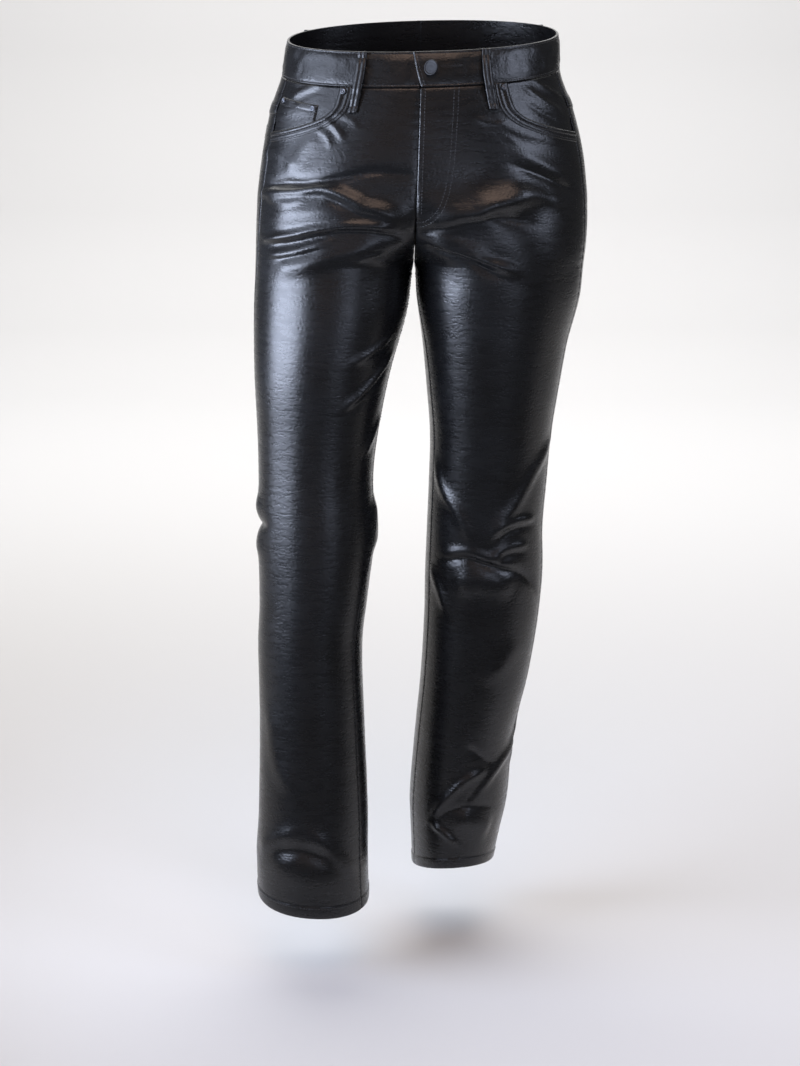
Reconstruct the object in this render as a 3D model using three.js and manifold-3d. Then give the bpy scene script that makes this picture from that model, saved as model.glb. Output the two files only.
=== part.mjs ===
// Leather trousers with straight legs and five pockets, in the hollow form they have when worn.
// Millimetres, +Z up, X to the wearer's left, Y to the back. The origin is the middle of the waist,
// level with the waist seam at the sides. Each cut piece is a closed wall on one shared surface.

import * as THREE from 'three';
import Module from 'manifold-3d';
import { mergeVertices } from 'three/addons/utils/BufferGeometryUtils.js';

// Driving sizes
const WALL = 1.6;
const SEAM_GAP = 0.3;
const BAND_HEIGHT = 38;
const BAND_WALL = 2.8;
const BAND_PROUD = 0.7;
const BAND_PUFF = 0.8;
const UNDERLAP = 30;
const LAP_GAP = 0.8;
const CROTCH_Z = -212;
const LEGS_PART_Z = -330;
const HEM_Z = -955;
const HEM_TURN = 13;
const HEM_PROUD = 0.6;
const YOKE_SIDE = 38;
const YOKE_DIP = 34;
const FLY_RAISE = 1.2;
const LOOP_WIDTH = 10;
const LOOP_TAIL = 27;
const LOOP_WALL = 2.2;
const LOOP_GAP = 3.2;
const BUTTON_DIAMETER = 17;
const RIVET_DIAMETER = 6.5;
const BACK_POCKET_WIDTH = 128;
const BACK_POCKET_HEIGHT = 138;
const BACK_POCKET_SLANT = 0.12;
const BACK_POCKET_TOP = -56;
// Millimetres a degree, about the same at the pockets' places all round
const FRONT_DEGREE = 1.75;
const BACK_DEGREE = 1.9;

// The waist seam lies in a plane, lower at the front and a little higher on the wearer's left.
const WAIST_PLANE = { atOrigin: 3, alongX: 0.024, alongY: 0.17 };
// Each hem lies in a plane of its own, as it breaks over the foot.
const HEM_PLANES = {
  right: { atOrigin: -952.5, alongX: -0.06, alongY: 0.12 },
  left: { atOrigin: -948, alongX: 0.08, alongY: -0.2 },
};
// The centre seam drifts a little to the wearer's right on its way down to the crotch.
const CENTRE_X = { waist: -1.6, crotch: -8.3 };

// Sections of each half, one row a height. outer and inner are distances from the centre plane,
// front, middle and back are depths, and square is how full the inner corners are.
const SECTION_COLUMNS = ['z', 'outer', 'inner', 'front', 'middle', 'back', 'square'];
const SECTIONS = {
  right: [
    [70, 147, -147, -94, 0, 96, 2.2],
    [38, 150, -150, -98, 0, 101, 2.2],
    [0, 155, -155, -104, 0, 108, 2.2],
    [-41, 168, -159, -109, 2, 118, 2.4],
    [-86, 176, -138, -110, 4, 128, 3.0],
    [-131, 181, -85, -108, 6, 134, 3.6],
    [-160, 182, -48, -106, 6, 134, 3.2],
    [-182, 182, -26, -104, 5, 131, 2.8],
    [-200, 182, -8, -103, 3, 126, 2.4],
    [-212, 182, 0, -102, 1, 121, 2.2],
    [-267, 184, 8, -104, -7, 98, 2.2],
    [-336, 184, 27, -103, -16, 80, 2.2],
    [-405, 181, 41, -100, -24, 62, 2.2],
    [-457, 180, 47, -100, -31, 47, 2.2],
    [-527, 181, 46, -104, -38, 32, 2.2],
    [-598, 180, 54, -108, -44, 22, 2.2],
    [-651, 182, 60, -111, -48, 17, 2.2],
    [-740, 181, 58, -118, -55, 10, 2.2],
    [-849, 183, 54, -129, -64, 1, 2.2],
    [-903, 186, 54, -134, -68, -2, 2.2],
    [-980, 183, 53, -138, -71, -4, 2.2],
  ],
  left: [
    [70, 151, -151, -94, 0, 96, 2.2],
    [38, 154, -154, -98, 0, 101, 2.2],
    [0, 158, -158, -104, 0, 108, 2.2],
    [-41, 175, -165, -109, 2, 118, 2.4],
    [-86, 188, -148, -110, 4, 128, 3.0],
    [-131, 195, -92, -108, 6, 134, 3.6],
    [-160, 197, -52, -106, 6, 134, 3.2],
    [-182, 197, -28, -104, 5, 131, 2.8],
    [-200, 196, -8, -101, 4, 127, 2.4],
    [-212, 195, 0, -99, 4, 124, 2.2],
    [-252, 191, 3, -94, 4, 108, 2.2],
    [-304, 178, 10, -87, 4, 97, 2.2],
    [-358, 169, 15, -79, 5, 88, 2.2],
    [-412, 161, 19, -71, 7, 82, 2.2],
    [-466, 157, 18, -64, 9, 79, 2.2],
    [-521, 153, 16, -58, 12, 79, 2.2],
    [-577, 154, 14, -52, 17, 84, 2.2],
    [-634, 150, 13, -47, 22, 89, 2.2],
    [-710, 139, 9, -42, 30, 99, 2.2],
    [-788, 122, 2, -38, 37, 110, 2.2],
    [-867, 116, -4, -36, 43, 119, 2.2],
    [-907, 108, -3, -36, 46, 124, 2.2],
    [-980, 93, 0, -36, 50, 130, 2.2],
  ],
};
const OUTER_SQUARE = 2.15;

// Where the seams run, in degrees forward of the innermost and outermost line of each half.
const SEAM_COLUMNS = ['z', 'inseam', 'outseam'];
const SEAMS = {
  right: [
    [70, 0, 18],
    [-120, 0, 20],
    [-212, 0, 16],
    [-300, 6, 8],
    [-400, 8, 0],
    [-475, 8, -5],
    [-540, 18, -8],
    [-620, 32, -10],
    [-750, 34, -10],
    [-980, 30, -8],
  ],
  left: [
    [70, 0, 16],
    [-120, 0, 18],
    [-212, 0, 18],
    [-270, 12, 18],
    [-340, 20, 17],
    [-500, 22, 16],
    [-980, 22, 18],
  ],
};

// Largest folds, one row each: a curve through three places, each a height and an angle round the
// half (0 inside, 90 front, 180 outside, 270 back), its half width, and how far it stands out.
const FOLD_COLUMNS = ['z1', 'a1', 'z2', 'a2', 'z3', 'a3', 'width', 'rise'];
const FOLDS = {
  right: [
    [-134, 184, -115, 122, -119, 84, 9, 3.2],
    [-127, 160, -106, 118, -112, 90, 7, -2.4],
    [-131, 156, -119, 116, -165, 72, 8, 3.0],
    [-136, 146, -140, 132, -132, 122, 6, -1.8],
    [-180, 140, -163, 97, -171, 62, 9, 4.0],
    [-184, 156, -170, 96, -184, 48, 8, -4.0],
    [-198, 142, -184, 110, -176, 86, 8, 2.6],
    [-320, 70, -304, 48, -285, 30, 8, 2.0],
    [-370, 70, -348, 50, -311, 18, 8, 2.6],
    [-431, 43, -405, 25, -378, 10, 9, 2.0],
    [-487, 150, -490, 182, -484, 225, 12, 3.0],
    [-506, 136, -511, 180, -508, 235, 9, -8.0],
    [-536, 145, -534, 180, -540, 228, 12, 2.5],
    [-478, 12, -512, 2, -546, -8, 20, 4.5],
    [-905, 180, -884, 140, -853, 98, 10, 2.8],
    [-857, 82, -886, 62, -913, 42, 9, 2.6],
    [-894, 140, -908, 90, -914, 44, 14, 3.4],
    [-876, 128, -890, 92, -892, 62, 8, -2.6],
    [-238, 190, -228, 236, -222, 300, 17, 3.4],
    [-268, 198, -256, 252, -250, 316, 15, -3.4],
    [-318, 205, -304, 248, -308, 300, 16, 2.4],
    [-474, 228, -488, 262, -476, 312, 12, 3.2],
    [-504, 222, -514, 268, -500, 322, 9, -4.2],
    [-542, 226, -540, 262, -556, 306, 12, 3.0],
    [-820, 214, -846, 258, -838, 308, 12, 2.6],
    [-884, 206, -872, 262, -896, 322, 11, 3.2],
  ],
  left: [
    [-168, 62, -148, 94, -163, 118, 9, 3.6],
    [-178, 54, -162, 84, -158, 104, 7, -3.2],
    [-183, 48, -198, 72, -221, 104, 10, 4.0],
    [-196, 48, -213, 76, -232, 104, 8, -3.0],
    [-568, 30, -540, 66, -590, 146, 7, -3.2],
    [-552, 34, -528, 62, -566, 118, 8, 2.0],
    [-500, 70, -526, 84, -548, 80, 7, -2.6],
    [-534, 90, -502, 104, -508, 146, 7, 3.0],
    [-553, 94, -538, 108, -537, 130, 6, 2.2],
    [-502, 112, -490, 116, -480, 124, 7, 2.0],
    [-880, 54, -842, 82, -804, 142, 9, 3.6],
    [-894, 62, -858, 94, -824, 146, 8, -3.0],
    [-784, 70, -792, 98, -812, 126, 8, 2.2],
    [-880, 56, -894, 70, -908, 88, 7, 2.6],
    [-856, 86, -872, 106, -892, 138, 16, 3.6],
    [-784, 148, -788, 180, -782, 214, 8, -3.6],
    [-808, 150, -810, 178, -806, 214, 10, 3.2],
    [-232, 188, -226, 238, -220, 302, 17, 3.2],
    [-262, 200, -252, 252, -256, 318, 15, -3.2],
    [-330, 208, -314, 252, -320, 306, 16, 2.4],
    [-470, 226, -484, 264, -470, 316, 12, 3.0],
    [-500, 220, -508, 262, -502, 318, 9, -4.0],
    [-540, 232, -534, 270, -552, 314, 12, 3.0],
    [-842, 220, -862, 262, -850, 312, 12, 2.8],
    [-902, 212, -890, 262, -914, 318, 11, 3.0],
  ],
};

// The open edge of a front pocket, from the waist seam round to the side seam, as heights and angles
const MOUTH = [
  [14, 122],
  [-14, 121.5],
  [-27, 121.3],
  [-38, 122],
  [-46, 125],
  [-53, 131.5],
  [-59, 141],
  [-63.5, 154],
  [-66, 172],
];
const MOUTH_TURN = { right: 0, left: 2.5 };
const COIN_POCKET = {
  top: [
    [-34.5, 130],
    [-26, 157],
  ],
  foot: [
    [-90, 128],
    [-90, 159],
  ],
};

// Heights of the rows and places of the columns that every wall on one half shares
const TOP_LEVELS = [0, -12, -25, -38];
const BODY_LEVELS = [
  -48, -58, -68, -80, -94, -104, -112, -120, -128, -137, -147, -157, -166, -175, -184, -193, -201,
  -207, -212, -220, -230, -242, -258, -280, -304, -330, -356, -382, -410, -440, -466, -484, -497,
  -509, -521, -534, -547, -562, -580, -606, -640, -680, -722, -762, -786, -804, -824, -842, -858,
  -872, -886, -900, -914, -928, -941, -943.5, -955,
];
const FRONT_COLUMNS = [0, 0.03, 0.08, 0.17, 0.28, 0.39, 0.5, 0.61, 0.71, 0.81, 0.9, 1];
const BACK_COLUMNS = [0, 0.11, 0.23, 0.35, 0.47, 0.59, 0.71, 0.81, 0.89, 0.95, 0.98, 1];

const COLOURS = { leather: 0x15161a, trim: 0x101114, button: 0x3a3d42 };

const clamp = (value, low, high) => Math.min(high, Math.max(low, value));
const radians = (degrees) => (degrees * Math.PI) / 180;
const degrees = (angle) => (angle * 180) / Math.PI;

function ease(value) {
  const t = clamp(value, 0, 1);
  return t * t * (3 - 2 * t);
}

// A smooth value of one column of a table whose first column falls from row to row
function readTable(rows, column, z) {
  const last = rows.length - 1;
  const height = clamp(z, rows[last][0], rows[0][0]);
  let i = 0;
  while (i < last - 1 && rows[i + 1][0] > height) i += 1;
  const slope = (k) => {
    const above = rows[Math.max(k - 1, 0)];
    const below = rows[Math.min(k + 1, last)];
    return (above[column] - below[column]) / (above[0] - below[0]);
  };
  const span = rows[i][0] - rows[i + 1][0];
  const t = (rows[i][0] - height) / span;
  const start = rows[i][column];
  const end = rows[i + 1][column];
  const hermite = (1 + 2 * t) * (1 - t) ** 2 * start + t * t * (3 - 2 * t) * end;
  return hermite - t * (1 - t) ** 2 * span * slope(i) - t * t * (t - 1) * span * slope(i + 1);
}

const sectionColumn = (name) => SECTION_COLUMNS.indexOf(name);
const sideSign = (side) => (side === 'right' ? -1 : 1);

function centreX(z) {
  const share = clamp(z / CROTCH_Z, -0.3, 1);
  return CENTRE_X.waist + (CENTRE_X.crotch - CENTRE_X.waist) * share;
}

function section(side, z) {
  const value = (name) => readTable(SECTIONS[side], sectionColumn(name), z);
  const outer = value('outer');
  const inner = value('inner');
  const middle = value('middle');
  return {
    centre: (outer + inner) / 2,
    halfWidth: (outer - inner) / 2,
    middle,
    toFront: middle - value('front'),
    toBack: value('back') - middle,
    square: value('square'),
  };
}

// A point of the plain surface of one half
function surfacePoint(side, z, angle) {
  const s = section(side, z);
  const across = Math.cos(radians(angle));
  const along = Math.sin(radians(angle));
  const power = 2 / (across > 0 ? s.square : OUTER_SQUARE);
  const x = Math.sign(across) * Math.abs(across) ** power;
  const y = Math.sign(along) * Math.abs(along) ** power;
  const depth = along > 0 ? s.toFront : s.toBack;
  const fromCentre = s.centre - s.halfWidth * x;
  return new THREE.Vector3(centreX(z) + sideSign(side) * fromCentre, s.middle - depth * y, z);
}

function surfaceNormal(side, z, angle) {
  const turn = 1.5;
  const rise = 1.5;
  const around = surfacePoint(side, z, angle + turn).sub(surfacePoint(side, z, angle - turn));
  const up = surfacePoint(side, z + rise, angle).sub(surfacePoint(side, z - rise, angle));
  return around.cross(up).multiplyScalar(sideSign(side)).normalize();
}

function sizePerDegree(side, z, angle) {
  const step = 0.5;
  const from = surfacePoint(side, z, angle - step);
  return surfacePoint(side, z, angle + step).distanceTo(from) / (2 * step);
}

const namedRow = (columns, row) => Object.fromEntries(columns.map((name, k) => [name, row[k]]));
const folds = {
  right: FOLDS.right.map((row) => namedRow(FOLD_COLUMNS, row)),
  left: FOLDS.left.map((row) => namedRow(FOLD_COLUMNS, row)),
};

// A fold's line as a smooth row of places through its three stated ones
function foldLine({ z1, a1, z2, a2, z3, a3 }) {
  const steps = 12;
  const bendZ = 2 * z2 - (z1 + z3) / 2;
  const bendA = 2 * a2 - (a1 + a3) / 2;
  return Array.from({ length: steps + 1 }, (_, k) => {
    const t = k / steps;
    const weights = [(1 - t) ** 2, 2 * t * (1 - t), t * t];
    return {
      z: weights[0] * z1 + weights[1] * bendZ + weights[2] * z3,
      angle: weights[0] * a1 + weights[1] * bendA + weights[2] * a3,
    };
  });
}

const foldLines = {
  right: folds.right.map(foldLine),
  left: folds.left.map(foldLine),
};

// How far the folds lift the surface at one place
function foldHeight(side, z, angle) {
  const s = section(side, z);
  const perDegree = radians((s.halfWidth + (s.toFront + s.toBack) / 2) / 2);
  let height = 0;
  folds[side].forEach(({ a1, width, rise }, index) => {
    const line = foldLines[side][index];
    const lowest = Math.min(...line.map((place) => place.z)) - 3 * width;
    const highest = Math.max(...line.map((place) => place.z)) + 3 * width;
    if (z < lowest || z > highest) return;
    const wrapped = a1 < 60 && angle > 300 ? angle - 360 : angle;
    let nearest = Infinity;
    let place = 0;
    for (let k = 0; k < line.length - 1; k += 1) {
      const [from, to] = [line[k], line[k + 1]];
      const acrossLine = (to.angle - from.angle) * perDegree;
      const upLine = to.z - from.z;
      const across = (wrapped - from.angle) * perDegree;
      const up = z - from.z;
      const length = acrossLine ** 2 + upLine ** 2;
      const share = clamp((across * acrossLine + up * upLine) / length, 0, 1);
      const distance = Math.hypot(across - share * acrossLine, up - share * upLine);
      if (distance < nearest) {
        nearest = distance;
        place = (k + share) / (line.length - 1);
      }
    }
    height += rise * Math.exp(-((nearest / width) ** 2)) * Math.sin(Math.PI * (0.1 + 0.8 * place));
  });
  return height;
}

// A place on the surface moved out by an amount, and by the folds unless it is to be plain
function placeOn(side, z, angle, out, folded = true) {
  const lift = out + (folded ? foldHeight(side, z, angle) : 0);
  return surfacePoint(side, z, angle).addScaledVector(surfaceNormal(side, z, angle), lift);
}

// Keeps a point on its own side of the centre plane, down to where the legs part
function keepToSide(side, point) {
  if (point.z < LEGS_PART_Z) return point;
  const sign = sideSign(side);
  const limit = centreX(point.z) + (sign * SEAM_GAP) / 2;
  point.x = sign > 0 ? Math.max(point.x, limit) : Math.min(point.x, limit);
  return point;
}

// The angle at which a section meets the centre plane, above the crotch
function centreAngle(side, z) {
  const s = section(side, z);
  const share = clamp((s.centre - SEAM_GAP / 2) / s.halfWidth, 0, 1);
  return degrees(Math.acos(share ** (s.square / 2)));
}

function seamAngles(side, z) {
  const inseam = readTable(SEAMS[side], SEAM_COLUMNS.indexOf('inseam'), z);
  const outseam = readTable(SEAMS[side], SEAM_COLUMNS.indexOf('outseam'), z);
  const aboveCrotch = z > CROTCH_Z;
  const centre = aboveCrotch ? centreAngle(side, z) : 0;
  return {
    frontInner: aboveCrotch ? centre : inseam,
    outer: 180 - outseam,
    backInner: aboveCrotch ? 360 - centre : 360 + inseam,
  };
}

const waistHeight = (point) =>
  WAIST_PLANE.atOrigin + WAIST_PLANE.alongX * point.x + WAIST_PLANE.alongY * point.y;

function hemHeight(side, point) {
  const plane = HEM_PLANES[side];
  return plane.atOrigin + plane.alongX * point.x + plane.alongY * point.y;
}

// Height and angle of a grid place: face is front or back, column 0 to 1, level the nominal height
function gridPlace(side, face, level, column) {
  let z = level;
  let angle = 0;
  for (let pass = 0; pass < 3; pass += 1) {
    const seams = seamAngles(side, z);
    const front = face === 'front';
    const from = front ? seams.frontInner : seams.outer;
    const to = front ? seams.outer : seams.backInner;
    const inset = SEAM_GAP / 2 / sizePerDegree(side, z, column < 0.5 ? from : to);
    const cutAtCentre = z > CROTCH_Z;
    const insetFrom = front && cutAtCentre ? 0 : inset;
    const insetTo = !front && cutAtCentre ? 0 : inset;
    angle = from + insetFrom + (to - insetTo - from - insetFrom) * column;
    const topShare = ease((level + 140) / 140);
    const hemShare = ease((-880 - level) / 75);
    const waist = waistHeight(surfacePoint(side, 0, angle));
    const hem = hemHeight(side, surfacePoint(side, HEM_Z, angle)) - HEM_Z;
    z = level + waist * topShare + hem * hemShare;
    if (!front) {
      const aboveYoke = ease(-level / YOKE_SIDE);
      const belowYoke = ease((level + 150) / (150 - YOKE_SIDE));
      z -= YOKE_DIP * column * (level > -YOKE_SIDE ? aboveYoke : belowYoke);
    }
  }
  return { z, angle };
}

// A closed mesh from its points and faces, turned so that its faces point out
function closedGeometry(points, faces) {
  const geometry = new THREE.BufferGeometry();
  const positions = points.flatMap((p) => [p.x, p.y, p.z]);
  let volume = 0;
  for (const [a, b, c] of faces) {
    volume += points[a].dot(points[b].clone().cross(points[c])) / 6;
  }
  const turned = volume < 0 ? faces.map(([a, b, c]) => [a, c, b]) : faces;
  geometry.setAttribute('position', new THREE.Float32BufferAttribute(positions, 3));
  geometry.setIndex(turned.flat());
  return geometry;
}

// A closed wall between two grids of points, outside and inside
function wallBetween(outside, inside) {
  const rows = outside.length;
  const columns = outside[0].length;
  const points = [...outside.flat(), ...inside.flat()];
  const out = (i, j) => i * columns + j;
  const inn = (i, j) => rows * columns + i * columns + j;
  const faces = [];
  const quad = (a, b, c, d) => faces.push([a, b, c], [a, c, d]);
  for (let i = 0; i < rows - 1; i += 1) {
    for (let j = 0; j < columns - 1; j += 1) {
      quad(out(i, j), out(i, j + 1), out(i + 1, j + 1), out(i + 1, j));
      quad(inn(i, j), inn(i + 1, j), inn(i + 1, j + 1), inn(i, j + 1));
    }
    quad(out(i, 0), out(i + 1, 0), inn(i + 1, 0), inn(i, 0));
    quad(out(i + 1, columns - 1), out(i, columns - 1), inn(i, columns - 1), inn(i + 1, columns - 1));
  }
  for (let j = 0; j < columns - 1; j += 1) {
    quad(out(0, j + 1), out(0, j), inn(0, j), inn(0, j + 1));
    quad(out(rows - 1, j), out(rows - 1, j + 1), inn(rows - 1, j + 1), inn(rows - 1, j));
  }
  return closedGeometry(points, faces);
}

// A wall on the grid of one half. outer and inner give how far out each face lies at a place.
function panelWall({ side, face, levels, columns, outer, inner, topGap = 0, footGap = 0 }) {
  const grid = (offset) =>
    levels.map((level, row) =>
      columns.map((column) => {
        const place = gridPlace(side, face, level, column);
        let { z } = place;
        if (row === 0) z -= topGap;
        if (row === levels.length - 1) z += footGap;
        const lift = offset({ z, angle: place.angle, column, level });
        return keepToSide(side, placeOn(side, z, place.angle, lift));
      }),
    );
  return wallBetween(grid(outer), grid(inner));
}

const wasm = await Module();
wasm.setup();

function toSolid(geometry) {
  const merged = mergeVertices(geometry, 1e-4);
  return new wasm.Manifold(
    new wasm.Mesh({
      numProp: 3,
      vertProperties: new Float32Array(merged.attributes.position.array),
      triVerts: new Uint32Array(merged.index.array),
    }),
  );
}

function fromSolid(solid) {
  const mesh = solid.getMesh();
  const geometry = new THREE.BufferGeometry();
  geometry.setAttribute('position', new THREE.BufferAttribute(mesh.vertProperties, 3));
  geometry.setIndex(new THREE.BufferAttribute(mesh.triVerts, 1));
  return geometry;
}

// A closed block that stands through the surface, between two rows of heights and angles
function blockBetween(side, first, second, reach) {
  const steps = 14;
  const layer = (out) =>
    first.map(([z, angle], row) =>
      Array.from({ length: steps + 1 }, (_, k) => {
        const share = k / steps;
        const [endZ, endAngle] = second[row];
        const placeZ = z + (endZ - z) * share;
        const placeAngle = angle + (endAngle - angle) * share;
        return placeOn(side, placeZ, placeAngle, out, false);
      }),
    );
  return toSolid(wallBetween(layer(reach), layer(-reach)));
}

// The pocket's open edge as a smooth row of places, moved into the opening by inset millimetres
function mouthEdge(side, inset) {
  const curve = new THREE.CatmullRomCurve3(
    MOUTH.map(([z, angle]) => new THREE.Vector3(angle * FRONT_DEGREE, z, 0)),
    false,
    'centripetal',
  );
  return curve.getPoints(26).map((point, k) => {
    const along = curve.getTangent(k / 26);
    const x = point.x - along.y * inset;
    const y = point.y + along.x * inset;
    return [y, x / FRONT_DEGREE + MOUTH_TURN[side]];
  });
}

// The block that fills a pocket mouth, from its edge to beyond the waist and side seams
function mouthBlock(side, inset, reach) {
  const edge = mouthEdge(side, inset);
  const corner = Math.round(edge.length * 0.55);
  const [top, beyond] = [30, 192];
  const foot = edge[edge.length - 1][0];
  const far = edge.map((place, k) => {
    if (k <= corner) return [top, edge[0][1] + (beyond - edge[0][1]) * (k / corner)];
    const share = (k - corner) / (edge.length - 1 - corner);
    return [top + (foot - top) * share, beyond];
  });
  far[0] = [top, edge[0][1] + 1];
  far[edge.length - 1] = [foot + 1, beyond];
  return blockBetween(side, edge, far, reach);
}

function distanceIntoMouth(side, z, angle) {
  const edge = mouthEdge(side, 0);
  let nearest = Infinity;
  let inside = false;
  for (const [edgeZ, edgeAngle] of edge) {
    const distance = Math.hypot(z - edgeZ, (angle - edgeAngle) * FRONT_DEGREE);
    if (distance < nearest) {
      nearest = distance;
      inside = angle > edgeAngle && z > edgeZ - 2;
    }
  }
  return inside ? nearest : -nearest;
}

const nodes = [];

function addNode(name, geometry, colour, roughness, metalness = 0) {
  const material = new THREE.MeshStandardMaterial({ color: colour, roughness, metalness });
  const mesh = new THREE.Mesh(geometry, material);
  mesh.name = name;
  nodes.push(mesh);
}

const addLeather = (name, geometry) => addNode(name, geometry, COLOURS.leather, 0.32);

// The hem is turned up inside, so the wall is thicker over its last stretch
const hemLift = (level) => (level < HEM_Z + HEM_TURN - 0.5 ? HEM_PROUD : 0);

function frontPanel(side) {
  const flyLift = (place) => {
    const overFly = side === 'left' && place.level > -150;
    return overFly ? FLY_RAISE * ease(1 - place.column / 0.1) : 0;
  };
  const wall = panelWall({
    side,
    face: 'front',
    levels: [...TOP_LEVELS, ...BODY_LEVELS],
    columns: FRONT_COLUMNS,
    outer: (place) => hemLift(place.level) + flyLift(place),
    inner: (place) => -WALL - hemLift(place.level) + flyLift(place),
    topGap: SEAM_GAP / 2,
  });
  addLeather(`front_${side}`, fromSolid(toSolid(wall).subtract(mouthBlock(side, 0, 14))));
}

function backPanel(side) {
  const wall = panelWall({
    side,
    face: 'back',
    levels: [-YOKE_SIDE, ...BODY_LEVELS],
    columns: BACK_COLUMNS,
    outer: (place) => hemLift(place.level),
    inner: (place) => -WALL - hemLift(place.level),
    topGap: SEAM_GAP / 2,
  });
  addLeather(`back_${side}`, wall);
}

function yoke(side) {
  const wall = panelWall({
    side,
    face: 'back',
    levels: TOP_LEVELS,
    columns: BACK_COLUMNS,
    outer: () => 0,
    inner: () => -WALL,
    topGap: SEAM_GAP / 2,
    footGap: SEAM_GAP / 2,
  });
  addLeather(`yoke_${side}`, wall);
}

// The facing behind a pocket mouth lies under the front panel and comes up level in the opening
const facingLift = (side, place) =>
  -WALL - 0.45 + (WALL + 0.2) * ease((distanceIntoMouth(side, place.z, place.angle) - 4) / 16);

const FACING_COLUMNS = FRONT_COLUMNS.filter((column) => column > 0.3);
const FACING_LEVELS = [...TOP_LEVELS, ...BODY_LEVELS.filter((level) => level > -90)];

function pocketFacing(side) {
  const wall = panelWall({
    side,
    face: 'front',
    levels: FACING_LEVELS,
    columns: FACING_COLUMNS,
    outer: (place) => facingLift(side, place),
    inner: (place) => facingLift(side, place) - 1.2,
    topGap: SEAM_GAP / 2,
  });
  addLeather(`pocket_facing_${side}`, wall);
}

function coinPocket() {
  const side = 'right';
  const wall = panelWall({
    side,
    face: 'front',
    levels: FACING_LEVELS,
    columns: FACING_COLUMNS,
    outer: (place) => facingLift(side, place) + SEAM_GAP + 1.3,
    inner: (place) => facingLift(side, place) + SEAM_GAP,
    topGap: SEAM_GAP / 2,
  });
  const shape = blockBetween(side, COIN_POCKET.top, COIN_POCKET.foot, 14);
  const opening = mouthBlock(side, 0.5, 13);
  addLeather('coin_pocket', fromSolid(toSolid(wall).intersect(shape).intersect(opening)));
}

// A patch pocket of a plain five-sided outline, tapering to a blunt point
function backPocket(side) {
  const widths = [
    [0, 1],
    [0.5, 0.94],
    [0.86, 0.86],
    [1, 0.04],
  ];
  const middle = gridPlace(side, 'back', BACK_POCKET_TOP, 0.53);
  const edge = (sign) =>
    widths.map(([share, width]) => {
      const across = (sign * width * BACK_POCKET_WIDTH) / 2;
      const down = -share * BACK_POCKET_HEIGHT;
      return [middle.z + down - across * BACK_POCKET_SLANT, middle.angle + across / BACK_DEGREE];
    });
  const wall = panelWall({
    side,
    face: 'back',
    levels: BODY_LEVELS.filter((level) => level > -250),
    columns: BACK_COLUMNS,
    outer: () => SEAM_GAP + 1.5,
    inner: () => SEAM_GAP,
  });
  const shape = blockBetween(side, edge(-1), edge(1), 12);
  addLeather(`back_pocket_${side}`, fromSolid(toSolid(wall).intersect(shape)));
}

// A stretch of the waistband on one half's surface. lift gives how far out its face lies.
function bandWall(side, angles, lift, thickness, puff) {
  const rows = [SEAM_GAP / 2, BAND_HEIGHT * 0.25, BAND_HEIGHT * 0.75, BAND_HEIGHT];
  const bulge = [0, puff, puff, 0];
  const grid = (extra) =>
    rows.map((up, row) =>
      angles.map((angle) => {
        const z = waistHeight(surfacePoint(side, 0, angle)) + up;
        const out = lift(angle) + extra(row);
        return placeOn(side, z, angle, out, false);
      }),
    );
  return [grid((row) => bulge[row]), grid(() => -thickness)];
}

const spread = (from, to, count) =>
  Array.from({ length: count + 1 }, (_, k) => from + ((to - from) * k) / count);

// The two halves of the waistband meet at the back, and the left laps over the right at the front
function waistbands() {
  const [front, back] = [90, 270];
  const steps = 18;
  const halves = {};
  for (const side of ['left', 'right']) {
    const grids = bandWall(side, spread(front, back, steps), () => BAND_PROUD, BAND_WALL, BAND_PUFF);
    for (const point of grids.flat(2)) keepToSide(side, point);
    halves[side] = wallBetween(...grids);
  }
  const lap = UNDERLAP / sizePerDegree('right', 0, front);
  const hidden = BAND_PROUD - BAND_WALL - LAP_GAP;
  const lift = (angle) => (angle > front ? BAND_PROUD - BAND_WALL + 1 : hidden);
  const angles = [...spread(front - lap, front, 3), front + 1.5, front + 6];
  const under = wallBetween(...bandWall('right', angles, lift, BAND_WALL * 0.8, 0));
  addLeather('waistband_left', halves.left);
  addLeather('waistband_right', fromSolid(toSolid(halves.right).add(toSolid(under))));
}

// A belt loop, folded and tacked at both ends and bowed away from the band between them
function beltLoop(name, side, angle) {
  const waist = waistHeight(surfacePoint(side, 0, angle));
  const length = BAND_HEIGHT + LOOP_TAIL;
  const stations = [0, 0.1, 0.17, 0.28, 0.45, 0.62, 0.78, 0.88, 0.94, 1];
  const rise = [0, 0, 0.75, 1, 1, 0.95, 0.75, 0.2, 0, 0];
  const across = [-0.5, -0.2, 0.2, 0.5];
  const perDegree = sizePerDegree(side, waist, angle);
  const seat = (share) => (share > 0.66 ? 0.65 : BAND_PROUD + BAND_PUFF + 0.45);
  const grid = (thickness) =>
    stations.map((share, row) =>
      across.map((place) => {
        const z = waist + BAND_HEIGHT - 0.5 - share * length;
        const fold = foldHeight(side, z, angle);
        const out = seat(share) + LOOP_GAP * rise[row] + thickness + fold;
        return placeOn(side, z, angle + (place * LOOP_WIDTH) / perDegree, out, false);
      }),
    );
  addLeather(name, wallBetween(grid(LOOP_WALL), grid(0)));
}

function beltLoops() {
  const loops = [
    ['belt_loop_front_right', 'right', 113],
    ['belt_loop_front_left', 'left', 115],
    ['belt_loop_back_right', 'right', 212],
    ['belt_loop_back_left', 'left', 210],
    ['belt_loop_centre', 'right', 270],
  ];
  for (const [name, side, angle] of loops) beltLoop(name, side, angle);
}

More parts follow.
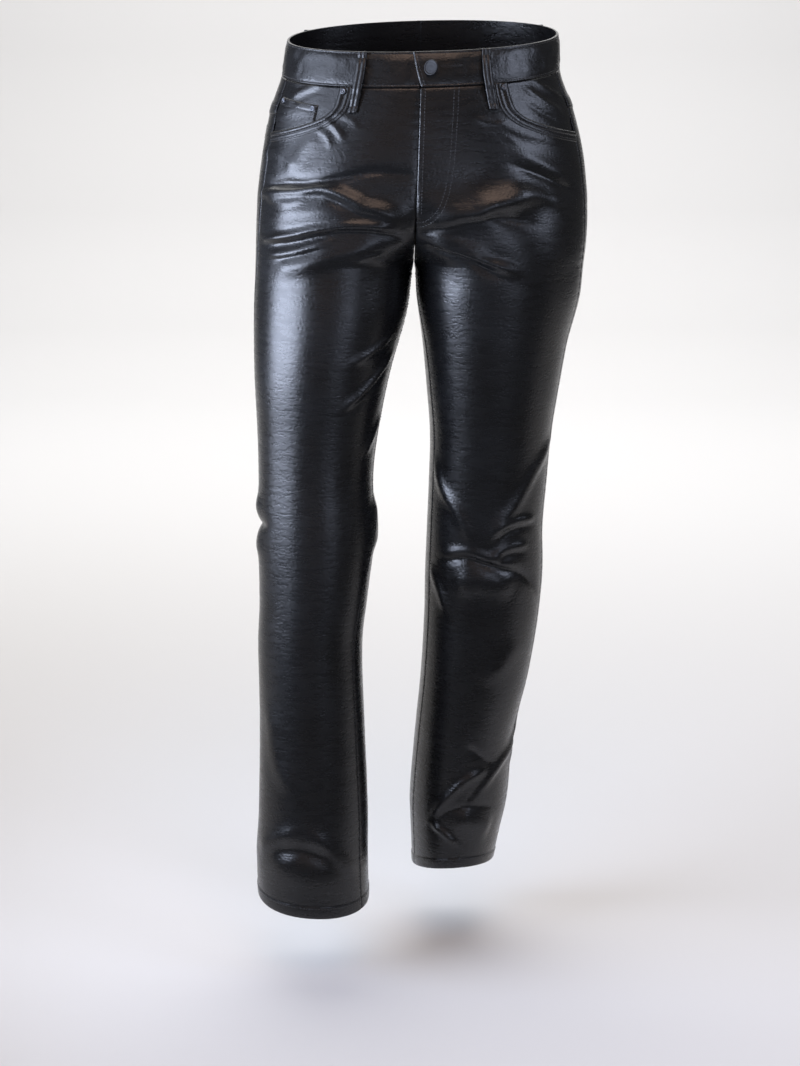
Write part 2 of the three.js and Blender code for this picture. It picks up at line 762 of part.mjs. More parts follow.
// A turned piece set on the surface, its axis along the normal or leaned from it about the vertical
function setOn(profile, segments, side, z, angle, out, lean = 0) {
  const outline = profile.map(([radius, height]) => new THREE.Vector2(radius, height));
  const geometry = new THREE.LatheGeometry(outline, segments);
  geometry.deleteAttribute('normal');
  geometry.deleteAttribute('uv');
  const axis = surfaceNormal(side, z, angle);
  axis.applyAxisAngle(new THREE.Vector3(0, 0, 1), lean);
  const turn = new THREE.Quaternion().setFromUnitVectors(new THREE.Vector3(0, 1, 0), axis);
  geometry.applyQuaternion(turn);
  const base = placeOn(side, z, angle, out, true);
  geometry.translate(base.x, base.y, base.z);
  const merged = mergeVertices(geometry, 1e-4);
  return fromSolid(toSolid(merged));
}

function button() {
  const r = BUTTON_DIAMETER / 2;
  const profile = [
    [0, 0],
    [3.2, 0],
    [3.2, 3.6],
    [r - 0.6, 3.6],
    [r, 4.2],
    [r, 5.4],
    [r - 0.7, 6.2],
    [r - 1.8, 5.7],
    [0, 5.9],
  ];
  const lean = -radians(20);
  const geometry = setOn(profile, 24, 'left', 5, 94, BAND_PROUD + BAND_PUFF + 1.5, lean);
  addNode('button', geometry, COLOURS.button, 0.5, 0.6);
}

function rivet(name, side, z, angle, out) {
  const r = RIVET_DIAMETER / 2;
  const profile = [
    [0, 0],
    [r, 0],
    [r, 0.5],
    [r * 0.72, 1.1],
    [r * 0.45, 0.7],
    [r * 0.2, 1.1],
    [0, 1.1],
  ];
  addNode(name, setOn(profile, 14, side, z, angle, out), COLOURS.button, 0.4, 0.8);
}

function rivets() {
  const seat = 0.4;
  for (const side of ['right', 'left']) {
    const angle = 119.2 + MOUTH_TURN[side];
    const z = waistHeight(surfacePoint(side, 0, angle)) - 5.2;
    rivet(`rivet_pocket_${side}`, side, z, angle, seat);
  }
  const onCoin = (z, angle) => facingLift('right', { z, angle }) + SEAM_GAP + 1.3 + seat;
  rivet('rivet_coin_outer', 'right', -30, 154.5, onCoin(-30, 154.5));
  rivet('rivet_coin_inner', 'right', -38, 132.4, onCoin(-38, 132.4));
}

for (const side of ['right', 'left']) {
  frontPanel(side);
  backPanel(side);
  yoke(side);
  pocketFacing(side);
  backPocket(side);
}
coinPocket();
waistbands();
beltLoops();
button();
rivets();

const trousers = new THREE.Group();
trousers.add(...nodes);

export default trousers;
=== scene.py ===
"""Leather trousers: the finished look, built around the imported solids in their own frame."""

import math

import bpy
import numpy as np
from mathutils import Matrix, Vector


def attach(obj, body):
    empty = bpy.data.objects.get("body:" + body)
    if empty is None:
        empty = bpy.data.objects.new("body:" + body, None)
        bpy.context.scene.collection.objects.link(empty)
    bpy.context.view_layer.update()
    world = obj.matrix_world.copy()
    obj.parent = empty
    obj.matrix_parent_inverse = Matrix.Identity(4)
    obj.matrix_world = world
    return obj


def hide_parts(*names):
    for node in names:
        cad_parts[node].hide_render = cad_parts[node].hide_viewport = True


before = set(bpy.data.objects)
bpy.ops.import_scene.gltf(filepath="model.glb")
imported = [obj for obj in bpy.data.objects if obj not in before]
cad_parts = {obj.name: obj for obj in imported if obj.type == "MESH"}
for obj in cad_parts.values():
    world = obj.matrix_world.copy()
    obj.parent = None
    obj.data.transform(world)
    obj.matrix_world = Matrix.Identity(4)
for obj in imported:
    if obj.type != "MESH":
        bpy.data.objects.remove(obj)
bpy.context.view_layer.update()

MM = 0.001
BODY = "root"

# Driving sizes in millimetres, the same as those of the solids
WALL = 1.2
SEAM_GAP = 0.3
BAND_HEIGHT = 38
BAND_PROUD = 0.7
BAND_PUFF = 0.9
BAND_WALL = 2.8
BAND_STITCH = 2.4
UNDERLAP = 30
CROTCH_Z = -212
LEGS_PART_Z = -330
HEM_Z = -955
YOKE_SIDE = 38
YOKE_DIP = 34
FLY_RAISE = 0.8
LOOP_WIDTH = 10
LOOP_TAIL = 27
LOOP_WALL = 2.0
LOOP_GAP = 3.2
BUTTON_DIAMETER = 17
BUTTON_LEAN = 32
RIVET_DIAMETER = 6.5
BACK_POCKET_WIDTH = 128
BACK_POCKET_HEIGHT = 138
BACK_POCKET_SLANT = 0.12
BACK_POCKET_TOP = -56
PER_DEGREE = 1.75

WAIST_PLANE = {"at_origin": 3, "along_x": 0.024, "along_y": 0.17}
HEM_PLANES = {
    "right": {"at_origin": -952.5, "along_x": -0.06, "along_y": 0.12},
    "left": {"at_origin": -948, "along_x": 0.08, "along_y": -0.2},
}
CENTRE_X = {"waist": -1.6, "crotch": -8.3}

# Sections of each half, one row a height: outer and inner are distances from the centre plane,
# front, middle and back are depths, and square is how full the inner corners are.
SECTION_COLUMNS = ("z", "outer", "inner", "front", "middle", "back", "square")
SECTIONS = {
    "right": [
        (70, 147, -147, -94, 0, 96, 2.2),
        (38, 150, -150, -98, 0, 101, 2.2),
        (0, 155, -155, -104, 0, 108, 2.2),
        (-41, 168, -159, -109, 2, 118, 2.4),
        (-86, 176, -138, -110, 4, 128, 3.0),
        (-131, 181, -85, -108, 6, 134, 3.6),
        (-160, 182, -48, -106, 6, 134, 3.2),
        (-182, 182, -26, -104, 5, 131, 2.8),
        (-200, 182, -8, -103, 3, 126, 2.4),
        (-212, 182, 0, -102, 1, 121, 2.2),
        (-267, 184, 8, -104, -7, 98, 2.2),
        (-336, 184, 27, -103, -16, 80, 2.2),
        (-405, 181, 41, -100, -24, 62, 2.2),
        (-457, 180, 47, -100, -31, 47, 2.2),
        (-527, 181, 46, -104, -38, 32, 2.2),
        (-598, 180, 54, -108, -44, 22, 2.2),
        (-651, 182, 60, -111, -48, 17, 2.2),
        (-740, 181, 58, -118, -55, 10, 2.2),
        (-849, 183, 54, -129, -64, 1, 2.2),
        (-903, 186, 54, -134, -68, -2, 2.2),
        (-980, 183, 53, -138, -71, -4, 2.2),
    ],
    "left": [
        (70, 151, -151, -94, 0, 96, 2.2),
        (38, 154, -154, -98, 0, 101, 2.2),
        (0, 158, -158, -104, 0, 108, 2.2),
        (-41, 175, -165, -109, 2, 118, 2.4),
        (-86, 188, -148, -110, 4, 128, 3.0),
        (-131, 195, -92, -108, 6, 134, 3.6),
        (-160, 197, -52, -106, 6, 134, 3.2),
        (-182, 197, -28, -104, 5, 131, 2.8),
        (-200, 196, -8, -101, 4, 127, 2.4),
        (-212, 195, 0, -99, 4, 124, 2.2),
        (-252, 191, 3, -94, 4, 108, 2.2),
        (-304, 178, 10, -87, 4, 97, 2.2),
        (-358, 169, 15, -79, 5, 88, 2.2),
        (-412, 161, 19, -71, 7, 82, 2.2),
        (-466, 157, 18, -64, 9, 79, 2.2),
        (-521, 153, 16, -58, 12, 79, 2.2),
        (-577, 154, 14, -52, 17, 84, 2.2),
        (-634, 150, 13, -47, 22, 89, 2.2),
        (-710, 139, 9, -42, 30, 99, 2.2),
        (-788, 122, 2, -38, 37, 110, 2.2),
        (-867, 116, -4, -36, 43, 119, 2.2),
        (-907, 108, -3, -36, 46, 124, 2.2),
        (-980, 93, 0, -36, 50, 130, 2.2),
    ],
}
OUTER_SQUARE = 2.15

# Where the seams run, in degrees forward of the innermost and outermost line of each half
SEAM_COLUMNS = ("z", "inseam", "outseam")
SEAMS = {
    "right": [
        (70, 0, 18),
        (-120, 0, 20),
        (-212, 0, 16),
        (-300, 6, 8),
        (-400, 8, 0),
        (-475, 8, -5),
        (-540, 18, -8),
        (-620, 32, -10),
        (-750, 34, -10),
        (-980, 30, -8),
    ],
    "left": [
        (70, 0, 16),
        (-120, 0, 18),
        (-212, 0, 18),
        (-270, 12, 18),
        (-340, 20, 17),
        (-500, 22, 16),
        (-980, 22, 18),
    ],
}

# Folds and creases, one row each: kind, half width, rise, and the places its line runs through,
# each a height and an angle round the half (0 inside, 90 front, 180 outside, 270 back).
# A ridge or trough is rounded, and a crease is a sharper valley.
FOLDS = {
    "right": [
        ("ridge", 15, 4.0, [(-154, 151), (-150, 122), (-151, 100), (-160, 87), (-172, 70)]),
        ("ridge", 11, 3.2, [(-215, 137), (-206, 105), (-194, 86), (-188, 68)]),
        ("ridge", 9, 1.6, [(-59, 125), (-81, 132), (-99, 136), (-114, 140)]),
        ("ridge", 3, 1.3, [(-48, 126), (-58, 119), (-73, 113)]),
        ("ridge", 3, 1.1, [(-57, 130), (-67, 122), (-82, 118)]),
        ("ridge", 2.6, 0.8, [(-42, 123), (-48, 114), (-60, 108)]),
        ("ridge", 7, 1.8, [(-86, 177), (-92, 142), (-105, 130)]),
        ("crease", 4.5, -5.6, [
            (-126, 165), (-120, 140), (-117, 118), (-111, 106), (-106, 95), (-109, 88), (-120, 83),
        ]),
        ("ridge", 6, 5.6, [
            (-131, 170), (-128, 128), (-124, 114), (-131, 103), (-139, 94), (-147, 88), (-156, 80),
            (-167, 66),
        ]),
        ("ridge", 4, 2.4, [(-137, 154), (-140, 130), (-134, 117)]),
        ("crease", 4, -3.0, [(-132, 113), (-141, 101), (-150, 92), (-160, 82)]),
        ("ridge", 5, 5.4, [
            (-183, 160), (-180, 136), (-176, 122), (-171, 112), (-168, 104), (-164, 90),
            (-167, 80), (-175, 62),
        ]),
        ("crease", 4.5, -5.6, [
            (-188, 150), (-182, 120), (-175, 104), (-170, 90), (-173, 78), (-184, 52),
        ]),
        ("ridge", 5, 2.6, [(-199, 148), (-196, 126), (-191, 114), (-184, 102), (-178, 90)]),
        ("crease", 4, -1.8, [(-204, 136), (-197, 112), (-189, 98)]),
        ("ridge", 3.5, 1.2, [(-204, 79), (-199, 73), (-198, 62)]),
        ("ridge", 5, 2.4, [(-320, 72), (-304, 48), (-283, 28)]),
        ("ridge", 5, 3.4, [(-372, 72), (-351, 51), (-332, 36), (-309, 16)]),
        ("crease", 4, -2.2, [(-379, 70), (-358, 50), (-339, 35), (-317, 16)]),
        ("ridge", 6, 2.0, [(-431, 43), (-405, 24), (-378, 8)]),
        ("ridge", 12, 3.0, [(-487, 150), (-490, 182), (-484, 225)]),
        ("crease", 6, -7.5, [(-506, 138), (-511, 180), (-508, 235)]),
        ("ridge", 12, 2.5, [(-536, 145), (-534, 180), (-540, 228)]),
        ("ridge", 20, 4.5, [(-478, 12), (-512, 2), (-546, -8)]),
        ("ridge", 13, 2.4, [(-700, 140), (-780, 126), (-820, 104)]),
        ("ridge", 9, 2.4, [(-892, 160), (-868, 122), (-853, 98)]),
        ("ridge", 9, 2.4, [(-853, 98), (-880, 72), (-921, 34)]),
        ("trough", 9, -2.8, [(-886, 134), (-881, 98), (-896, 66)]),
        ("ridge", 18, 1.6, [(-897, 144), (-908, 97), (-921, 46)]),
        ("ridge", 16, 3.4, [(-238, 190), (-228, 236), (-222, 300)]),
        ("crease", 9, -3.4, [(-268, 198), (-256, 252), (-250, 316)]),
        ("ridge", 14, 2.4, [(-318, 205), (-304, 248), (-308, 300)]),
        ("ridge", 11, 3.2, [(-474, 228), (-488, 262), (-476, 312)]),
        ("crease", 6, -4.4, [(-504, 222), (-514, 268), (-500, 322)]),
        ("ridge", 11, 3.0, [(-542, 226), (-540, 262), (-556, 306)]),
        ("ridge", 11, 2.6, [(-820, 214), (-846, 258), (-838, 308)]),
        ("ridge", 10, 3.2, [(-884, 206), (-872, 262), (-896, 322)]),
    ],
    "left": [
        ("ridge", 14, 5.0, [(-160, 77), (-148, 88), (-137, 99), (-131, 114), (-127, 130)]),
        ("ridge", 9, 3.0, [(-178, 62), (-183, 74), (-193, 82), (-204, 86)]),
        ("crease", 5, -3.8, [(-96, 112), (-104, 122), (-114, 132), (-124, 142), (-130, 156)]),
        ("ridge", 8, 1.9, [(-84, 116), (-93, 126), (-104, 136), (-117, 148)]),
        ("ridge", 8, 2.2, [(-122, 104), (-128, 117), (-136, 130), (-147, 143)]),
        ("ridge", 6, 1.3, [(-49, 112), (-62, 123), (-69, 134), (-73, 150)]),
        ("ridge", 2.8, 1.1, [(-46, 106), (-54, 113), (-53, 121)]),
        ("ridge", 3, 0.7, [(-58, 109), (-65, 116), (-79, 123)]),
        ("ridge", 9, 5.4, [(-169, 66), (-163, 79), (-153, 90), (-144, 98), (-138, 110), (-134, 124)]),
        ("crease", 5, -5.6, [
            (-173, 56), (-168, 73), (-163, 84), (-157, 92), (-155, 98), (-158, 106), (-164, 120),
        ]),
        ("ridge", 6, 4.4, [(-182, 52), (-186, 62), (-193, 72), (-201, 80), (-210, 90), (-221, 104)]),
        ("crease", 5, -5.0, [(-188, 44), (-194, 59), (-202, 70), (-213, 80), (-225, 94)]),
        ("crease", 5, -6.8, [
            (-564, 34), (-555, 52), (-552, 77), (-558, 89), (-564, 103), (-572, 124), (-590, 143),
            (-608, 153),
        ]),
        ("ridge", 7, 3.2, [(-556, 34), (-548, 54), (-545, 76), (-551, 92), (-557, 106), (-565, 128)]),
        ("ridge", 16, 3.6, [(-586, 56), (-580, 90), (-592, 120)]),
        ("ridge", 8, 2.8, [(-430, 20), (-470, 40), (-498, 62), (-534, 77), (-552, 78)]),
        ("ridge", 8, 3.0, [(-405, 176), (-451, 134), (-493, 112), (-518, 94), (-546, 84)]),
        ("ridge", 5, 3.2, [(-529, 90), (-515, 101), (-508, 114), (-508, 146)]),
        ("crease", 4, -2.8, [(-534, 96), (-522, 106), (-516, 120), (-515, 146)]),
        ("ridge", 5, 2.8, [(-557, 92), (-542, 103), (-538, 116), (-539, 136)]),
        ("crease", 4, -1.8, [(-561, 98), (-549, 107), (-546, 134)]),
        ("ridge", 7, 2.2, [(-564, 22), (-592, 40), (-626, 56)]),
        ("ridge", 14, 2.0, [(-650, 130), (-684, 112), (-700, 84)]),
        ("crease", 4, -2.8, [(-783, 88), (-797, 106), (-813, 128)]),
        ("ridge", 5, 3.6, [(-882, 54), (-850, 76), (-825, 96), (-814, 122)]),
        ("ridge", 6, 3.6, [(-854, 102), (-832, 116), (-811, 136), (-793, 160), (-752, 174)]),
        ("crease", 4, -2.0, [(-862, 90), (-838, 106), (-818, 124)]),
        ("crease", 4, -2.4, [(-880, 60), (-866, 80), (-860, 98), (-862, 120), (-869, 142)]),
        ("ridge", 4, 3.0, [(-883, 56), (-894, 74), (-910, 92)]),
        ("ridge", 14, 3.8, [(-872, 82), (-882, 104), (-893, 134)]),
        ("crease", 6, -1.8, [(-784, 148), (-788, 180), (-782, 214)]),
        ("ridge", 11, 2.0, [(-808, 150), (-810, 178), (-806, 214)]),
        ("ridge", 16, 3.2, [(-232, 188), (-226, 238), (-220, 302)]),
        ("crease", 9, -3.2, [(-262, 200), (-252, 252), (-256, 318)]),
        ("ridge", 14, 2.4, [(-330, 208), (-314, 252), (-320, 306)]),
        ("ridge", 11, 3.0, [(-470, 226), (-484, 264), (-470, 316)]),
        ("crease", 6, -4.2, [(-500, 220), (-508, 262), (-502, 318)]),
        ("ridge", 11, 3.0, [(-540, 232), (-534, 270), (-552, 314)]),
        ("ridge", 11, 2.8, [(-842, 220), (-862, 262), (-850, 312)]),
        ("ridge", 10, 3.0, [(-902, 212), (-890, 262), (-914, 318)]),
    ],
}

# The open edge of a front pocket, from the waist seam round to the side seam, as heights and angles
MOUTH = [
    (14, 122),
    (-14, 121.5),
    (-27, 121.3),
    (-38, 122),
    (-46, 125),
    (-53, 131.5),
    (-59, 141),
    (-63.5, 154),
    (-66, 172),
]
MOUTH_TURN = {"right": 0, "left": 2.5}


# Surface of the garment


def ease(value):
    t = np.clip(value, 0, 1)
    return t * t * (3 - 2 * t)


def smooth_between(t, span, start, end, start_slope, end_slope):
    """A smooth run from one value to another, with a slope at each."""
    from_start = (1 + 2 * t) * (1 - t) ** 2 * start + t * (1 - t) ** 2 * span * start_slope
    from_end = t * t * (3 - 2 * t) * end + t * t * (t - 1) * span * end_slope
    return from_start + from_end


def read_table(rows, column, z):
    """A smooth value of one column of a table whose first column falls from row to row."""
    heights = np.array([row[0] for row in rows], float)[::-1]
    values = np.array([row[column] for row in rows], float)[::-1]
    slopes = np.gradient(values, heights)
    slopes[1:-1] = (values[2:] - values[:-2]) / (heights[2:] - heights[:-2])
    z = np.clip(z, heights[0], heights[-1])
    i = np.clip(np.searchsorted(heights, z, side="right") - 1, 0, len(heights) - 2)
    span = heights[i + 1] - heights[i]
    t = (z - heights[i]) / span
    return smooth_between(t, span, values[i], values[i + 1], slopes[i], slopes[i + 1])


def side_sign(side):
    return -1.0 if side == "right" else 1.0


def centre_x(z):
    share = np.clip(z / CROTCH_Z, -0.3, 1)
    return CENTRE_X["waist"] + (CENTRE_X["crotch"] - CENTRE_X["waist"]) * share


def section(side, z):
    rows = SECTIONS[side]
    columns = range(1, len(SECTION_COLUMNS))
    outer, inner, front, middle, back, square = (read_table(rows, k, z) for k in columns)
    return (outer + inner) / 2, (outer - inner) / 2, middle, middle - front, back - middle, square


def surface(side, z, angle):
    """Points of the plain surface of one half, in millimetres."""
    z, angle = np.broadcast_arrays(np.asarray(z, float), np.asarray(angle, float))
    centre, half_width, middle, to_front, to_back, square = section(side, z)
    across, along = np.cos(np.radians(angle)), np.sin(np.radians(angle))
    power = 2 / np.where(across > 0, square, OUTER_SQUARE)
    from_centre = centre - half_width * np.sign(across) * np.abs(across) ** power
    depth = np.where(along > 0, to_front, to_back) * np.sign(along) * np.abs(along) ** power
    x = centre_x(z) + side_sign(side) * from_centre
    return np.stack([x, middle - depth, z], -1)


def normals(side, z, angle):
    turn, rise = 1.5, 1.5
    around = surface(side, z, angle + turn) - surface(side, z, angle - turn)
    up = surface(side, z + rise, angle) - surface(side, z - rise, angle)
    out = np.cross(around, up) * side_sign(side)
    return out / np.linalg.norm(out, axis=-1, keepdims=True)


def centre_angle(side, z):
    centre, half_width, _, _, _, square = section(side, z)
    share = np.clip((centre - SEAM_GAP / 2) / half_width, 0, 1)
    return np.degrees(np.arccos(np.clip(share ** (square / 2), 0, 1)))


def seam_angles(side, z):
    """Angles of the front's inner edge, the side seam and the back's inner edge."""
    inseam = read_table(SEAMS[side], SEAM_COLUMNS.index("inseam"), z)
    outseam = read_table(SEAMS[side], SEAM_COLUMNS.index("outseam"), z)
    above = z > CROTCH_Z
    inner = np.where(above, centre_angle(side, z), inseam)
    back = np.where(above, 360 - inner, 360 + inseam)
    return inner, 180 - outseam, back


def angle_from_centre(side, z, distance):
    """The angle on the front at a distance across from the centre plane, above the crotch."""
    centre, half_width, _, _, _, square = section(side, z)
    share = np.clip((centre - distance) / half_width, -1, 1)
    power = np.where(share > 0, square, OUTER_SQUARE) / 2
    return np.degrees(np.arccos(np.sign(share) * np.abs(share) ** power))


def waist_height(points):
    plane = WAIST_PLANE
    return plane["at_origin"] + plane["along_x"] * points[..., 0] + plane["along_y"] * points[..., 1]


def hem_height(side, points):
    plane = HEM_PLANES[side]
    return plane["at_origin"] + plane["along_x"] * points[..., 0] + plane["along_y"] * points[..., 1]


def waist_at(side, angle):
    return waist_height(surface(side, np.zeros_like(np.asarray(angle, float)), angle))


def grid_places(side, face, levels, columns):
    """Heights and angles of a panel's grid, from nominal levels and shares across the panel."""
    level, column = np.meshgrid(np.asarray(levels, float), np.asarray(columns, float), indexing="ij")
    z = level.copy()
    for _ in range(3):
        inner, outer, back = seam_angles(side, z)
        start, end = (inner, outer) if face == "front" else (outer, back)
        inset = SEAM_GAP / 2 / PER_DEGREE
        at_centre = z > CROTCH_Z
        start = start + np.where((face == "front") & at_centre, 0, inset)
        end = end - np.where((face == "back") & at_centre, 0, inset)
        angle = start + (end - start) * column
        hem = hem_height(side, surface(side, HEM_Z, angle)) - HEM_Z
        z = level + waist_at(side, angle) * ease((level + 140) / 140)
        z = z + hem * ease((-880 - level) / 75)
        if face == "back":
            above = ease(-level / YOKE_SIDE)
            below = ease((level + 150) / (150 - YOKE_SIDE))
            z = z - YOKE_DIP * column * np.where(level > -YOKE_SIDE, above, below)
    return z, angle


# Relief of the leather: folds, soft ripples and puckers


def curve_through(places, count):
    """Evenly spaced places on a smooth curve through a few, with its places opened out flat."""
    knots = np.array(places, float)
    steps = np.linalg.norm(np.diff(knots * [1, PER_DEGREE], axis=0), axis=1)
    length = np.concatenate([[0], np.cumsum(steps)])
    t = np.linspace(0, length[-1], count)
    i = np.clip(np.searchsorted(length, t, side="right") - 1, 0, len(length) - 2)
    span = length[i + 1] - length[i]
    share = (t - length[i]) / span
    columns = []
    for values in knots.T:
        slopes = np.gradient(values, length)
        columns.append(smooth_between(share, span, values[i], values[i + 1], slopes[i], slopes[i + 1]))
    return columns


def nearest_on(line_z, line_a, z, angle, scale):
    """Distance from each place to a line, and how far along the line its nearest point is."""
    nearest = np.full(np.shape(z), np.inf)
    along = np.zeros(np.shape(z))
    steps = len(line_z) - 1
    for k in range(steps):
        step_a, step_z = (line_a[k + 1] - line_a[k]) * scale, line_z[k + 1] - line_z[k]
        from_a, from_z = (angle - line_a[k]) * scale, z - line_z[k]
        share = np.clip((from_a * step_a + from_z * step_z) / (step_a**2 + step_z**2), 0, 1)
        distance = np.hypot(from_a - share * step_a, from_z - share * step_z)
        closer = distance < nearest
        nearest = np.where(closer, distance, nearest)
        along = np.where(closer, (k + share) / steps, along)
    return nearest, along


def fold_profile(kind, distance, width):
    if kind == "crease":
        return np.exp(-np.sqrt((distance / width) ** 2 + 0.04) * 1.2)
    return np.exp(-((distance / width) ** 2))


def fold_height(side, z, angle):
    """How far the folds lift the surface."""
    z, angle = np.broadcast_arrays(np.asarray(z, float), np.asarray(angle, float))
    _, half_width, _, to_front, to_back, _ = section(side, z)
    per_degree = np.radians((half_width + (to_front + to_back) / 2) / 2)
    height = np.zeros(z.shape)
    for kind, width, rise, places in FOLDS[side]:
        line_z, line_a = curve_through(places, 8 * len(places))
        near = (z > line_z.min() - 4 * width) & (z < line_z.max() + 4 * width)
        if not near.any():
            continue
        place_z, place_a = z[near], angle[near]
        if line_a.min() < 20:
            place_a = np.where(place_a > 300, place_a - 360, place_a)
        distance, along = nearest_on(line_z, line_a, place_z, place_a, per_degree[near])
        fade = ease(np.minimum(along, 1 - along) / 0.28) * 0.92 + 0.08
        height[near] += rise * fade * fold_profile(kind, distance, width)
    return height


def soft_noise(u, v, seed):
    """Smooth noise from -1 to 1 on a lattice of unit cells, the same on each run."""
    rows, columns = 97, 89
    lattice = np.random.default_rng(seed).uniform(-1, 1, (rows, columns))
    i, j = np.floor(u).astype(int), np.floor(v).astype(int)
    fu, fv = u - i, v - j
    su, sv = fu * fu * (3 - 2 * fu), fv * fv * (3 - 2 * fv)

    def corner(di, dj):
        return lattice[(i + di) % rows, (j + dj) % columns]

    low = corner(0, 0) * (1 - su) + corner(1, 0) * su
    high = corner(0, 1) * (1 - su) + corner(1, 1) * su
    return low * (1 - sv) + high * sv


def relief(side, z, angle):
    """The whole lift of a panel's outer face: folds, soft ripples, and puckers along its seams."""
    z, angle = np.broadcast_arrays(np.asarray(z, float), np.asarray(angle, float))
    inner, outer, back = seam_angles(side, z)
    to_inner = np.minimum(np.abs(angle - inner), np.abs(back - angle)) * PER_DEGREE
    to_outer = np.abs(angle - outer) * PER_DEGREE
    inland = ease(np.minimum(to_inner, to_outer) / 16)
    below_band = ease((-10 - z) / 25)
    above_hem = ease((z + 940) / 30)
    across, up = angle * PER_DEGREE, z
    wide = soft_noise(across / 34, up / 19, 3) * 0.17
    fine = soft_noise(across / 13 + 40, up / 6.5 + 9, 5) * 0.035
    faint = soft_noise(across / 60, up / 70, 11)
    ripples = (wide + fine) * (0.55 + 0.45 * faint) * inland * below_band * above_hem
    wave = np.sin(2 * np.pi * (z + 2.5 * soft_noise(z / 17, z * 0 + 3, 7)) / 10.5)
    strength = 0.16 + 0.14 * soft_noise(z / 40, z * 0 + 8, 13)
    puckers = wave * strength * np.exp(-np.minimum(to_outer, to_inner) / 7) * above_hem
    groove = -0.6 * np.exp(-((to_outer / 1.4) ** 2)) - 0.9 * np.exp(-((to_inner / 1.2) ** 2))
    return fold_height(side, z, angle) + ripples + puckers + groove


def on_side(side, points):
    """Points kept on their own side of the centre plane, down to where the legs part."""
    sign = side_sign(side)
    limit = centre_x(points[..., 2]) + sign * SEAM_GAP / 2
    limit = np.where(points[..., 2] > LEGS_PART_Z, limit, -sign * 1000)
    x = np.maximum(points[..., 0], limit) if sign > 0 else np.minimum(points[..., 0], limit)
    return np.concatenate([x[..., None], points[..., 1:]], -1)


def placed(side, z, angle, out, skin=True):
    """Points on the finished surface, moved out by an amount."""
    lift = out + (relief(side, z, angle) if skin else 0)
    lift = np.broadcast_to(lift, np.broadcast_shapes(np.shape(z), np.shape(angle), np.shape(lift)))
    return surface(side, z, angle) + normals(side, z, angle) * lift[..., None]


# Meshes


def put_in_scene(name, data):
    thing = bpy.data.objects.new(name, data)
    bpy.context.scene.collection.objects.link(thing)
    return thing


def new_object(name, points, faces, uvs=None):
    mesh = bpy.data.meshes.new(name)
    mesh.from_pydata((np.asarray(points, float).reshape(-1, 3) * MM).tolist(), [], faces)
    if uvs is not None:
        layer = mesh.uv_layers.new(name="cut")
        loop_vertices = np.empty(len(mesh.loops), int)
        mesh.loops.foreach_get("vertex_index", loop_vertices)
        layer.data.foreach_set("uv", (np.asarray(uvs).reshape(-1, 2)[loop_vertices] * MM).ravel())
    mesh.validate()
    mesh.update()
    mesh.polygons.foreach_set("use_smooth", [True] * len(mesh.polygons))
    return put_in_scene(name, mesh)


def grid_faces(rows, columns, keep=None):
    i, j = np.meshgrid(np.arange(rows - 1), np.arange(columns - 1), indexing="ij")
    corner = i * columns + j
    faces = np.stack([corner, corner + 1, corner + columns + 1, corner + columns], -1)
    faces = faces.reshape(-1, 4)
    return faces if keep is None else faces[keep.reshape(-1)]


def wall_object(name, side, outside, inside, keep=None, uvs=None):
    """A closed wall between an outer and an inner grid, with rims where a face has no neighbour."""
    rows, columns = outside.shape[:2]
    faces = grid_faces(rows, columns, keep)
    if side == "right":
        faces = faces[:, ::-1]
    count = rows * columns
    edges = np.concatenate([faces[:, [k, (k + 1) % 4]] for k in range(4)])
    forward = edges[:, 0] * count + edges[:, 1]
    backward = edges[:, 1] * count + edges[:, 0]
    rims = edges[~np.isin(forward, backward)]
    rim_faces = np.stack([rims[:, 1], rims[:, 0], rims[:, 0] + count, rims[:, 1] + count], -1)
    every = np.concatenate([faces, faces[:, ::-1] + count, rim_faces])
    points = np.concatenate([outside.reshape(-1, 3), inside.reshape(-1, 3)])
    used = np.unique(every)
    renumber = np.full(2 * count, -1)
    renumber[used] = np.arange(len(used))
    flat_uvs = None
    if uvs is not None:
        flat_uvs = np.concatenate([uvs.reshape(-1, 2)] * 2)[used]
    return new_object(name, points[used], renumber[every].tolist(), flat_uvs)


def facing_outward(name, side, outside, inside, keep=None, uvs=None):
    """The wall with its faces turned outward, whichever way its grid runs."""
    thing = wall_object(name, side, outside, inside, keep, uvs)
    volume = 0.0
    for polygon in thing.data.polygons:
        volume += polygon.center.dot(polygon.normal) * polygon.area
    if volume < 0:
        thing.data.flip_normals()
    return thing


def with_edges(count, fine=(0.6, 1.3, 2.2, 3.4), width=190.0):
    """Shares from 0 to 1 with extra ones close to both ends."""
    near = [step / width for step in fine]
    middle = np.linspace(5.5 / width, 1 - 5.5 / width, count)
    return np.unique(np.concatenate([[0], near, middle, 1 - np.array(near), [1]]))


def body_levels():
    """Nominal heights of the rows from waist to hem, close together where the form turns fast."""
    top = np.arange(0, -190, -2.8)
    crotch = np.arange(-190, -214, -1.2)
    leg = np.arange(-214, -938, -2.8)
    hem = np.array([-939.5, -941, -941.8, -942.4, -943, -944.5, -946.5, -949, -951.5, -953.5, -954.5])
    rows = np.concatenate([top, crotch, leg, hem, [CROTCH_Z, HEM_Z]])
    return np.unique(np.round(rows, 2))[::-1]


def hem_lift(level):
    """The turned-up hem is thicker, with a shallow trough where it is stitched."""
    step = 0.75 * ease((-941.2 - level) / 1.6)
    trough = -0.35 * np.exp(-(((level + 943.6) / 0.9) ** 2))
    roll = -0.5 * ease((-953 - level) / 2)
    return step + trough + roll


def mouth_edge(side, steps=90):
    """The pocket's open edge as a smooth row of heights and angles."""
    edge_z, edge_a = curve_through(MOUTH, steps + 1)
    return edge_z, edge_a + MOUTH_TURN[side]


